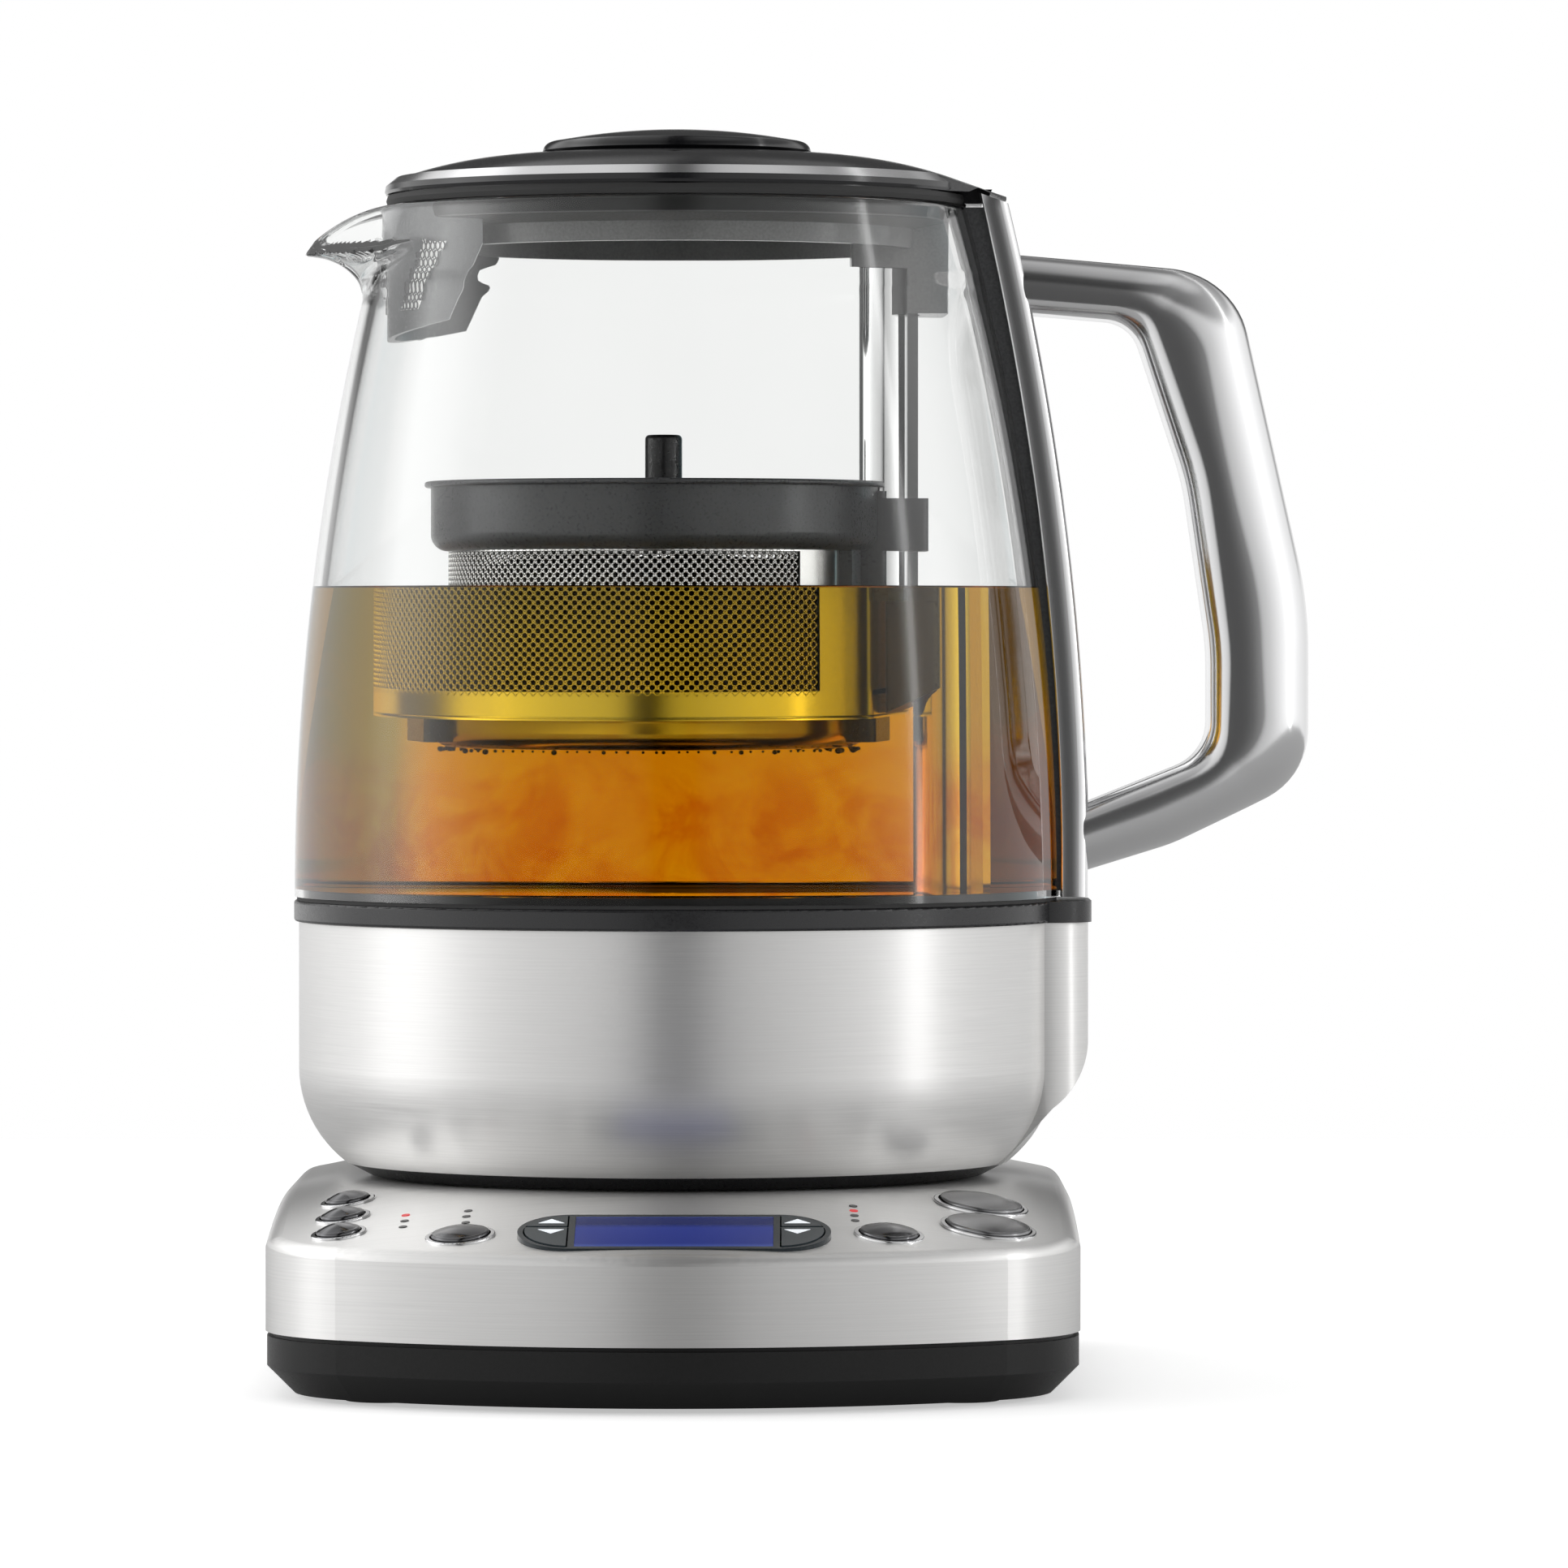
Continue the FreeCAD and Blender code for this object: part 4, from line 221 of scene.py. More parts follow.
def glowing(name, colour, strength, base=None):
    """Lit material, or a painted glow that stands in for light shining through."""
    mat, tree, shader = material(name, Roughness=0.3, Emission_Strength=strength,
                                 Base_Color=tuple(base or colour) + (1.0,))
    dim = tuple(c * 0.92 for c in colour) + (1.0,)
    shade = ramp(tree, object_noise(tree, 400.0), [(NOISE_SPAN[0], dim), (NOISE_SPAN[1], colour + (1.0,))])
    tree.links.new(shade, shader.inputs["Emission Color"])
    return mat


def lid_smoke(name):
    """Smoky underside of the lid: dark plug, lighter skirt below it."""
    mat, tree, shader = material(name, Roughness=0.20)
    light = ramp(tree, object_noise(tree, 1800.0), [(NOISE_SPAN[0], grey(0.28)), (NOISE_SPAN[1], grey(0.34))])
    high = map_range(tree, object_xyz(tree)[2], (0.2403, 0.2409), 0.0, 1.0)
    tree.links.new(mix(tree, high, light, grey(0.05)), shader.inputs["Base Color"])
    return mat


def display_material(name):
    """Backlit blue screen: darker along its upper edge, deepest blue in the middle, with thin light lines
    along its lower and upper edges that are painted highlights.
    """
    mat, tree, shader = material(name, Roughness=0.06, Specular_IOR_Level=0.08, Emission_Strength=0.10)
    up = map_range(tree, object_xyz(tree)[1], (-0.1112, -0.0886), 0.0, 1.0)
    # the light first and last stops, along the window's lower and upper edges, are painted highlights
    shade = ramp(tree, up, [
        (0.00, (0.05, 0.09, 0.38, 1.0)), (0.10, (0.010, 0.026, 0.23, 1.0)),
        (0.62, (0.016, 0.036, 0.28, 1.0)), (0.74, (0.007, 0.016, 0.12, 1.0)),
        (0.95, (0.010, 0.020, 0.14, 1.0)), (1.00, (0.06, 0.10, 0.34, 1.0))])
    tree.links.new(shade, shader.inputs["Base Color"])
    tree.links.new(shade, shader.inputs["Emission Color"])
    return mat


BRUSHED_SKIRT = brushed_round("brushed_steel_round")
BRUSHED_BASE = brushed_base("brushed_steel_base")
POLISHED = satin_metal("polished_steel", (0.80, 0.80, 0.80), 0.08)
SATIN = satin_metal("satin_silver", (0.74, 0.74, 0.745), 0.17)
CHROME = satin_metal("ring_chrome", (0.78, 0.78, 0.79), 0.10)
DARK_CHROME = satin_metal("button_dark_chrome", (0.13, 0.13, 0.135), 0.14)
SATIN_BUTTON = satin_metal("large_button_satin", (0.25, 0.25, 0.255), 0.25)
CUP_STEEL = satin_metal("cup_steel", (0.86, 0.85, 0.82), 0.20)
BRASS = satin_metal("brass", (0.70, 0.50, 0.20), 0.25)
BLACK_GLOSS = moulded("black_gloss_plastic", (0.006, 0.006, 0.007), 0.16)
BLACK_SATIN = moulded("black_satin_plastic", (0.010, 0.010, 0.011), 0.30)
TRAY_BLACK = moulded("tray_plastic", (0.006, 0.006, 0.006), 0.34, Specular_IOR_Level=0.30)
GREY_PLASTIC = moulded("dark_grey_plastic", (0.085, 0.086, 0.09), 0.30)
SMOKE_PLASTIC = moulded("smoky_grey_plastic", (0.17, 0.175, 0.18), 0.24)
LINER_GREY = moulded("liner_grey_plastic", (0.055, 0.056, 0.058), 0.22)
RUBBER = moulded("black_rubber", (0.02, 0.02, 0.02), 0.7)
SLATE = moulded("slate_gloss_plastic", (0.040, 0.050, 0.056), 0.10, Specular_IOR_Level=0.15)
SLATE_RIM = moulded("slate_rim_plastic", (0.024, 0.030, 0.034), 0.14, Specular_IOR_Level=0.15)
BOARD = moulded("circuit_board", (0.03, 0.16, 0.06), 0.45)
WHITE_PLASTIC = moulded("white_plastic", (0.75, 0.75, 0.72), 0.4)
LEAVES = moulded("tea_leaves", (0.020, 0.013, 0.006), 0.75, spread=0.8, grain=450.0)
LENS = moulded("light_lens", (0.015, 0.015, 0.016), 0.15)
# The bubbles' dark olive colour is painted shade: it stands in for the light that air in tea bends away.
BUBBLE_PAINTED_SHADE = moulded("bubble_painted_shade", (0.035, 0.030, 0.010), 0.06)
# The filter cloth's glow is painted light: it stands in for light shining through the cloth.
FILTER_CLOTH_PAINTED_GLOW = glowing("filter_cloth_painted_glow", (1.0, 1.0, 0.98), 0.45, base=(0.95, 0.95, 0.94))
LIT_RED = glowing("lit_red", (0.85, 0.02, 0.03), 0.55, base=(0.30, 0.01, 0.01))
ARROW_WHITE = glowing("arrow_white", (0.92, 0.96, 1.0), 0.35)
GLASS = clear_glass("jug_glass")
TEA = tea_material("brewed_tea")
LID_SMOKE = lid_smoke("lid_underside_smoke")
DISPLAY = display_material("display_blue")

NODE_LOOKS = {
    BRUSHED_BASE: ["base_shell"],
    BRUSHED_SKIRT: ["jug_skirt"],
    BLACK_GLOSS: ["lid_cover", "lid_knob", "lid_edge"],
    TRAY_BLACK: ["base_tray"],
    BLACK_SATIN: ["jug_foot", "jug_band", "base_connector", "jug_socket", "basket_lid_knob",
                  "cord_gland", "gearbox", "tact_switches", "dish_clips"],
    RUBBER: ["base_feet", "glass_seal", "lid_seal", "column_seal"],
    SATIN: ["handle", "handle_spine", "lid_trim"],
    POLISHED: ["lift_column", "heating_plate", "base_screws", "jug_screws", "lid_screws", "lift_screw",
               "basket_magnet", "lift_motor"],
    CHROME: ["button_rings"],
    DARK_CHROME: ["start_button", "warm_button", "basket_button", "tea_select_button",
                  "strength_select_button"],
    SATIN_BUTTON: ["hot_water_button", "tea_button"],
    GREY_PLASTIC: ["basket_rim", "basket_lid", "column_cap"],
    SMOKE_PLASTIC: ["spout_filter"],
    LID_SMOKE: ["lid_skirt"],
    LINER_GREY: ["spine_liner"],
    SLATE: ["left_up_key", "left_down_key", "right_up_key", "right_down_key"],
    SLATE_RIM: ["display_bezel"],
    DISPLAY: ["display_window", "display_module"],
    LENS: ["indicator_lights"],
    BOARD: ["relay_board", "control_board"],
    WHITE_PLASTIC: ["magnet_carriage"],
    BRASS: ["temperature_sensor"],
    CUP_STEEL: ["heating_element", "basket_cup", "filter_mesh"],
    GLASS: ["jug_glass"],
}

for look, names in NODE_LOOKS.items():
    for name in names:
        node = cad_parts[name]
        node.data.materials.clear()
        node.data.materials.append(look)
        node.data.polygons.foreach_set("use_smooth", [True] * len(node.data.polygons))
        node.data.set_sharp_from_angle(angle=math.radians(28.0))


# -------------------------------------------------------------- panel markings
PANEL_R = 118.0
PANEL_Z = 31.6
SLOPE = math.atan(9.4 / (PANEL_R - 71.4))
CORNER = math.asin(82.7 / PANEL_R)
LIT_LIGHTS = [(-0.816, 27.3), (0.569, 33.1)]     # turn as a share of CORNER, distance up the slope
LIGHT_REACH = 2.2            # faces this near a lit light's middle belong to it


def on_panel(x, v, w, turn=0.0):
    """From the panel frame at a turn to the row frame."""
    y = -PANEL_R + v * math.cos(SLOPE) - w * math.sin(SLOPE)
    z = PANEL_Z + v * math.sin(SLOPE) + w * math.cos(SLOPE)
    angle = turn * CORNER
    return (x * math.cos(angle) - y * math.sin(angle), x * math.sin(angle) + y * math.cos(angle), z)


def light_two():
    """Two of the small lights are lit."""
    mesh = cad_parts["indicator_lights"].data
    mesh.materials.append(LIT_RED)
    lit = [Vector(on_panel(0.0, v, 0.0, turn)) * MM for turn, v in LIT_LIGHTS]
    for face in mesh.polygons:
        if min((face.center - place).length for place in lit) < LIGHT_REACH * MM:
            face.material_index = 1


light_two()


# ---------------------------------------------------------------- mesh helpers
def piece(name, verts_mm, faces, look, body, smooth=True):
    """A mesh piece from vertices in millimetres, riding on a body."""
    mesh = bpy.data.meshes.new(name)
    mesh.from_pydata([Vector(v) * MM for v in verts_mm], [], faces)
    work = bmesh.new()
    work.from_mesh(mesh)
    bmesh.ops.recalc_face_normals(work, faces=work.faces)
    work.to_mesh(mesh)
    work.free()
    mesh.materials.append(look)
    mesh.polygons.foreach_set("use_smooth", [smooth] * len(mesh.polygons))
    if smooth:
        mesh.set_sharp_from_angle(angle=math.radians(40.0))
    obj = bpy.data.objects.new(name, mesh)
    bpy.context.scene.collection.objects.link(obj)
    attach(obj, body)
    return obj


def skin(rings, close_columns=True, cap_ends=False):
    """Faces over rings of equally many points."""
    count = len(rings[0])
    verts = [p for ring in rings for p in ring]
    faces = []
    for r in range(len(rings) - 1):
        for c in range(count if close_columns else count - 1):
            d = (c + 1) % count
            faces.append((r * count + c, r * count + d, (r + 1) * count + d, (r + 1) * count + c))
    if cap_ends:
        faces.append(tuple(range(count)))
        faces.append(tuple(range((len(rings) - 1) * count, len(rings) * count)))
    return verts, faces


def even_turns(count):
    return [2 * math.pi * i / count for i in range(count)]


# ------------------------------------------------------------------- glass jug
GLASS_R = 80.3
GLASS_CURVE_R = 550.0
GLASS_CURVE_Z = 100.0
GLASS_BOTTOM_Z = 99.8
GLASS_WALL = 3.0
RIM_Z = 244.1
LIP_TIP = (-79.0, 233.6)     # where the cut that shapes the lip begins, as distance out and height
LIP_ROOT_X = -56.0
LIP_CURVE = 0.62
LIP_EDGE_R = 1.3
SPOUT_REACH = 78.0
SPOUT_NOSE_R = 7.0
SPOUT_TIP_Z = 234.0
SPOUT_ROOT_Z = 224.0
SPOUT_WALL = 2.0
SPOUT_SINK = 1.2
SPOUT_BLEND = 2.2            # softness of the blend between spout and wall
THINNEST_WALL = 1.4
WALL_ROWS, SPOUT_ROWS, LIP_STEPS = 40, 44, 8
SPOUT_SHARE = 0.84           # share of the wall's height below the spout's closer rows


def glass_r(z, inset=0.0):
    curve = GLASS_CURVE_R - inset
    return GLASS_R - GLASS_CURVE_R + math.sqrt(curve ** 2 - (z - GLASS_CURVE_Z) ** 2)


def teardrop_r(angle, reach, nose_r, wall_r):
    """Distance from the axis to the spout's plan outline, at an angle from -X."""
    centre = reach - nose_r
    if centre <= abs(wall_r - nose_r):
        return wall_r
    tangent = math.acos((wall_r - nose_r) / centre)
    if angle >= tangent:
        return wall_r
    touch = math.atan2(nose_r * math.sin(tangent), centre + nose_r * math.cos(tangent))
    if angle > touch:
        return wall_r / math.cos(tangent - angle)
    return centre * math.cos(angle) + math.sqrt(max(0.0, nose_r ** 2 - (centre * math.sin(angle)) ** 2))


def jug_r(angle, z, wall_inset=0.0, spout_inset=0.0):
    """Radius of the jug's wall with its spout; angle is measured from -X."""
    wall = glass_r(z, wall_inset)
    share = (z - spout_inset - SPOUT_ROOT_Z) / (SPOUT_TIP_Z - SPOUT_ROOT_Z)
    if share <= 0.0:
        return wall
    share = min(share, 1.0)
    root_reach = glass_r(SPOUT_ROOT_Z) - 0.6
    reach = root_reach + (SPOUT_REACH - root_reach) * (1.0 - math.sqrt(1.0 - share ** 2)) - spout_inset
    spout = teardrop_r(abs(angle), reach, SPOUT_NOSE_R - spout_inset, glass_r(z, spout_inset) - SPOUT_SINK)
    gap = abs(wall - spout)
    return max(wall, spout) + max(0.0, SPOUT_BLEND - gap) ** 2 / (4.0 * SPOUT_BLEND) * min(1.0, share * 3.0)


def inner_r(angle, z):
    return min(jug_r(angle, z, GLASS_WALL, SPOUT_WALL), jug_r(angle, z) - THINNEST_WALL)


def lip_z(x):
    """Height of the cut that shapes the lip, by its distance out."""
    tip_x, tip_z = LIP_TIP
    if x >= LIP_ROOT_X:
        return RIM_Z
    if x <= tip_x:
        return tip_z
    share = (x - tip_x) / (LIP_ROOT_X - tip_x)
    return tip_z + (RIM_Z - tip_z) * math.sin(share * math.pi / 2) ** LIP_CURVE


def top_z(angle):
    """Height where the wall meets the lip's cut, found by halving."""
    low, high = SPOUT_ROOT_Z, RIM_Z
    for _ in range(40):
        middle = (low + high) / 2
        if middle < lip_z(-jug_r(angle, middle) * math.cos(angle)):
            low = middle
        else:
            high = middle
    return (low + high) / 2


def glass_angles():
    """Angles around the wall, close together at the spout."""
    angles = []
    degrees = -180.0
    while degrees < 180.0 - 1e-6:
        angles.append(math.radians(degrees))
        near = abs(degrees + 1e-9)     # a closer span begins at -14 or -40 and ends at 14 or 40
        degrees += 0.5 if near < 14.0 else 1.0 if near < 40.0 else 2.5
    return angles


def glass_ring(angles, spots):
    """Points of a ring, from the radius and height at each angle."""
    return [(-r * math.cos(angle), -r * math.sin(angle), z) for angle, (r, z) in zip(angles, spots)]


def wall_ring(angles, edges, share, radius):
    """Ring some share of the way up to the lip's edge."""
    heights = [GLASS_BOTTOM_Z + (edge - GLASS_BOTTOM_Z) * share for edge in edges]
    return glass_ring(angles, [(radius(angle, z), z) for angle, z in zip(angles, heights)])


def jug_glass():
    """Glass with its lip: up the outside, over the rounded edge and down the inside."""
    angles = glass_angles()
    edges = [top_z(angle) - LIP_EDGE_R for angle in angles]
    shares = [SPOUT_SHARE * i / WALL_ROWS for i in range(WALL_ROWS)]
    shares += [SPOUT_SHARE + (1.0 - SPOUT_SHARE) * i / SPOUT_ROWS for i in range(SPOUT_ROWS + 1)]
    rings = [wall_ring(angles, edges, share, jug_r) for share in shares]
    for i in range(1, LIP_STEPS):
        turn = math.pi * i / LIP_STEPS
        spots = []
        for angle, edge in zip(angles, edges):
            r_out, r_in = jug_r(angle, edge), inner_r(angle, edge)
            r = (r_out + r_in) / 2 + (r_out - r_in) / 2 * math.cos(turn)
            spots.append((r, edge + LIP_EDGE_R * math.sin(turn)))
        rings.append(glass_ring(angles, spots))
    rings += [wall_ring(angles, edges, share, inner_r) for share in reversed(shares)]
    verts, faces = skin(rings)
    count = len(angles)
    last = len(verts) - count
    for c in range(count):
        d = (c + 1) % count
        faces.append((last + c, last + d, d, c))
    glass = piece("clear_jug_glass", verts, faces, GLASS, "jug")
    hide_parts("jug_glass")


jug_glass()


# -------------------------------------------------------------- handle, strap
# corners of the handle's side view: past the glass's foot, above it, and the corner's rounding
HANDLE_OUTER = [(-11.5, 134.5, 0.0), (36.7, 130.4, 18.0), (52.3, 61.2, 90.0), (52.3, 24.7, 16.0),
                (23.7, 11.0, 40.0), (2.0, 4.3, 0.0)]
HANDLE_INNER = [(-11.5, 122.5, 0.0), (15.1, 120.2, 8.0), (26.0, 87.2, 60.0), (31.1, 52.2, 60.0),
                (31.1, 29.8, 10.0), (2.0, 18.1, 0.0)]
GRIP_HALF_WIDTH = 12.7
GRIP_RINGS = 110
STRAP_HALF_WIDTH = 13.0
STRAP_GAPS = (0.1, 1.15, 3.0)          # from the glass, at the foot, the middle and the top
STRAP_THICKS = (5.6, 5.8, 5.4)
STRAP_STRAIGHT = 22.2
STRAP_MIDDLE_Z = GLASS_BOTTOM_Z + 84.2
STRAP_TOP_Z = RIM_Z + 0.5
STRAP_SLANT = 2.1                      # its inner edge ends this much higher
STRAP_RINGS = 70


def swing(centre, begin, end, share):
    """Point on the shorter arc about a centre from one arm to another of the same length."""
    turn = math.atan2(begin.x * end.y - begin.y * end.x, begin.dot(end)) * share
    cos_t, sin_t = math.cos(turn), math.sin(turn)
    return centre + Vector((begin.x * cos_t - begin.y * sin_t, begin.x * sin_t + begin.y * cos_t))


def rounded_path(corners, per_arc=24):
    """Points along straight runs and tangent arcs."""
    spots = [Vector((GLASS_R + x, GLASS_BOTTOM_Z + z)) for x, z, _ in corners]
    points = [spots[0]]
    for index in range(1, len(spots) - 1):
        corner = spots[index]
        to_last = (spots[index - 1] - corner).normalized()
        to_next = (spots[index + 1] - corner).normalized()
        half = to_last.angle(to_next) / 2
        radius = corners[index][2]
        centre = corner + (to_last + to_next).normalized() * (radius / math.sin(half))
        begin = corner + to_last * (radius / math.tan(half)) - centre
        end = corner + to_next * (radius / math.tan(half)) - centre
        points += [swing(centre, begin, end, k / per_arc) for k in range(per_arc + 1)]
    points.append(spots[-1])
    return points


def arc_points(a, m, b, count=60):
    """Points of the arc from a through m to b."""
    a, m, b = Vector(a), Vector(m), Vector(b)
    d = 2 * (a.x * (m.y - b.y) + m.x * (b.y - a.y) + b.x * (a.y - m.y))
    aa, mm, bb = a.length_squared, m.length_squared, b.length_squared
    centre = Vector((
        (aa * (m.y - b.y) + mm * (b.y - a.y) + bb * (a.y - m.y)) / d,
        (aa * (b.x - m.x) + mm * (a.x - b.x) + bb * (m.x - a.x)) / d))
    return [swing(centre, a - centre, b - centre, k / count) for k in range(count + 1)]


def evenly(points, count):
    """Points at even distances along a polyline."""
    lengths = [0.0]
    for p, q in zip(points, points[1:]):
        lengths.append(lengths[-1] + (q - p).length)
    result, index = [], 0
    for k in range(count):
        goal = lengths[-1] * k / (count - 1)
        while index < len(points) - 2 and lengths[index + 1] < goal:
            index += 1
        span = max(lengths[index + 1] - lengths[index], 1e-9)
        result.append(points[index].lerp(points[index + 1], (goal - lengths[index]) / span))
    return result


def bar_section(outside, inside, half_width, out_r, in_r, steps=10):
    """Rounded cross-section, half width each way in Y, between two points of a side view."""
    across = outside - inside
    length = across.length
    across.normalize()
    ring = []
    corners = [(0.0, -1, in_r, 270.0), (0.0, 1, in_r, 180.0),
               (length, 1, out_r, 90.0), (length, -1, out_r, 0.0)]
    for u, side, r, start in corners:
        centre_u = u + r if u == 0.0 else u - r
        centre_y = side * (half_width - r)
        for k in range(steps + 1):
            turn = math.radians(start - 90.0 * k / steps)
            spot = inside + across * (centre_u + r * math.cos(turn))
            ring.append((spot.x, centre_y + r * math.sin(turn), spot.y))
    return ring


def grip():
    """The D-shaped handle: full and round outside, flatter inside."""
    rings = []
    for outside, inside in zip(evenly(rounded_path(HANDLE_OUTER), GRIP_RINGS),
                               evenly(rounded_path(HANDLE_INNER), GRIP_RINGS)):
        width = (outside - inside).length
        out_r, in_r = min(11.0, 0.6 * width), min(5.0, 0.3 * width)
        rings.append(bar_section(outside, inside, GRIP_HALF_WIDTH, out_r, in_r))
    verts, faces = skin(rings, cap_ends=True)
    obj = piece("cast_handle", verts, faces, SATIN, "jug")
    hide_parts("handle")


def strap_side(offs, straight, top_z):
    """One side of the strap in a side view: straight at the foot, then along the glass's curve."""
    foot = (GLASS_R + offs[0], GLASS_BOTTOM_Z)
    bend = (foot[0], GLASS_BOTTOM_Z + straight)
    middle, top = ((glass_r(z) + off, z) for z, off in ((STRAP_MIDDLE_Z, offs[1]), (top_z, offs[2])))
    return evenly([Vector(foot), Vector(bend)] + arc_points(bend, middle, top), STRAP_RINGS)


def strap():
    """Steel strap up the glass, cut off on a slant under the lid's tail."""
    offs = [gap + thick for gap, thick in zip(STRAP_GAPS, STRAP_THICKS)]
    outside = strap_side(offs, STRAP_STRAIGHT, STRAP_TOP_Z)
    inside = strap_side(STRAP_GAPS, STRAP_STRAIGHT / 2, STRAP_TOP_Z + STRAP_SLANT)
    rings = [bar_section(a, b, STRAP_HALF_WIDTH, 2.0, 0.4, 6) for a, b in zip(outside, inside)]
    verts, faces = skin(rings, cap_ends=True)
    obj = piece("steel_strap", verts, faces, SATIN, "jug")
    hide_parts("handle_spine")


grip()
strap()


# ------------------------------------------------------------------------ tea
TEA_Z = 163.9
PLATE_Z = 100.0
TEA_ROWS = 34


def brewed_tea():
    """Closed body of tea: up the inside of the glass, with a meniscus at its top."""
    profile = [(glass_r(101.0, GLASS_WALL) - 6.0, PLATE_Z + 0.15)]
    for i in range(TEA_ROWS + 1):
        z = PLATE_Z + 1.4 + (TEA_Z + 0.5 - PLATE_Z - 1.4) * i / TEA_ROWS
        profile.append((glass_r(z, GLASS_WALL) + 0.12, z))
    edge = glass_r(TEA_Z, GLASS_WALL)
    profile += [(edge - 0.5, TEA_Z + 0.12), (edge - 1.6, TEA_Z), (edge - 6.0, TEA_Z - 0.04),
                (edge * 0.5, TEA_Z - 0.05)]
    rings = [[(r * math.cos(turn), r * math.sin(turn), z) for turn in even_turns(144)] for r, z in profile]
    verts, faces = skin(rings, cap_ends=True)
    tea = piece("brewed_tea", verts, faces, TEA, "jug")


brewed_tea()


# ----------------------------------------------------------------- tea basket
BASKET_X = -4.5
CUP_R = 43.5
CUP_WALL = 0.8
CUP_BACK_X = 33.8
CUP_BOTTOM_Z = 137.0
CUP_TOP_Z = 182.5
PLAIN_FROM_X = 25.7          # the wall has no holes past this
SEAM = 0.5                   # overlap of the bands with the wall between them
DISH_R = 34.5
DISH_Z = 130.0
DISH_BEND_R = 3.5
NO_BACK = 60.0               # a flat back this far out leaves the plan round
HOLE_ZONE = (141.5, 172.2)
HOLE_PITCH = 1.8
HOLE_ROW = 0.95
HOLE_R = 0.52
CUP_TURNS = even_turns(120)


def cup_point(turn, r, back_x, z):
    """Point of the cup's plan: round, with a flat back towards the column."""
    x, y = r * math.cos(turn), r * math.sin(turn)
    limit = back_x - BASKET_X
    if x > limit:
        y *= limit / x
        x = limit
    return (BASKET_X + x, y, z)


def cup_band(turns, z0, z1, inset=0.0, closed=True):
    """The cup's wall between two heights, outside and inside."""
    rings = [[cup_point(t, CUP_R - inset, CUP_BACK_X, z) for t in turns] for z in (z0, z1)]
    rings += [[cup_point(t, CUP_R - CUP_WALL, CUP_BACK_X - CUP_WALL, z) for t in turns] for z in (z1, z0)]
    return skin(rings + [rings[0]], close_columns=closed)


def cup_bands(plain_turn):
    """The cup's solid wall: below the holes, above them, and towards the column."""
    plain = [-plain_turn + 2 * plain_turn * i / 30 for i in range(31)]
    low, high = HOLE_ZONE
    verts, faces = [], []
    for more, quads in (cup_band(CUP_TURNS, CUP_BOTTOM_Z, low + SEAM),
                        cup_band(CUP_TURNS, high - SEAM, CUP_TOP_Z),
                        cup_band(plain, low - SEAM, high + SEAM, inset=0.02, closed=False)):
        faces += [tuple(i + len(verts) for i in quad) for quad in quads]
        verts += more
    return piece("cup_bands", verts, faces, CUP_STEEL, "tea_basket")


def perforated_wall(turn0, turn1):
    """Round wall of staggered holes: diamond cells, each with an eight-sided hole."""
    verts, faces = [], []
    low, high = HOLE_ZONE
    columns = int((turn1 - turn0) * CUP_R / HOLE_PITCH)
    cell = [(HOLE_PITCH / 2, 0.0), (0.0, HOLE_ROW), (-HOLE_PITCH / 2, 0.0), (0.0, -HOLE_ROW)]
    cell += [(HOLE_R * math.cos(k * math.pi / 4), HOLE_R * math.sin(k * math.pi / 4)) for k in range(8)]
    for j in range(int((high - low) / HOLE_ROW)):
        z = low + (j + 0.5) * HOLE_ROW
        for i in range(columns - j % 2):
            middle = turn0 + (i + 0.5 + 0.5 * (j % 2)) * HOLE_PITCH / CUP_R
            start = len(verts)
            for du, dv in cell:
                turn = middle + du / CUP_R
                verts.append((BASKET_X + CUP_R * math.cos(turn), CUP_R * math.sin(turn), z + dv))
            for side in range(4):
                inner = [start + 4 + (2 * side + k) % 8 for k in (2, 1, 0)]
                faces.append((start + side, start + (side + 1) % 4, *inner))
    return piece("cup_perforated_wall", verts, faces, CUP_STEEL, "tea_basket")


def cup_dish():
    """Step under the cup and the pressed dish below it."""
    step_z = CUP_BOTTOM_Z - CUP_WALL
    profile = [(CUP_R, CUP_BACK_X, CUP_BOTTOM_Z), (CUP_R, CUP_BACK_X, step_z)]
    profile += [(DISH_R + 0.6, NO_BACK, step_z), (DISH_R + 0.1, NO_BACK, step_z - 0.3),
                (DISH_R, NO_BACK, step_z - 0.8), (DISH_R, NO_BACK, DISH_Z + DISH_BEND_R)]
    for k in range(1, 7):
        bend = math.radians(15.0 * k)
        profile.append((DISH_R - DISH_BEND_R + DISH_BEND_R * math.cos(bend), NO_BACK,
                        DISH_Z + DISH_BEND_R - DISH_BEND_R * math.sin(bend)))
    profile.append((12.0, NO_BACK, DISH_Z))
    verts, faces = skin([[cup_point(t, r, back, z) for t in CUP_TURNS] for r, back, z in profile])
    faces.append(tuple(range(len(verts) - len(CUP_TURNS), len(verts))))
    return piece("cup_dish", verts, faces, CUP_STEEL, "tea_basket")


def thicken(obj, thickness_mm):
    mod = obj.modifiers.new("thickness", "SOLIDIFY")
    mod.thickness = thickness_mm * MM
    mod.offset = -1.0


def cup():
    plain_turn = math.acos((PLAIN_FROM_X - BASKET_X) / CUP_R)
    bands = cup_bands(plain_turn)
    sheet = perforated_wall(plain_turn - 0.01, 2 * math.pi - plain_turn + 0.01)
    dish = cup_dish()
    thicken(sheet, 0.4)
    thicken(dish, 0.5)
    for obj in (bands, sheet, dish):
        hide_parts("basket_cup")


cup()

# heights and radii up the heap
HEAP = [(137.2, 40.0), (138.0, 42.2), (150.0, 42.35), (163.0, 42.35), (167.0, 41.0), (169.5, 30.0),
        (170.5, 12.0)]


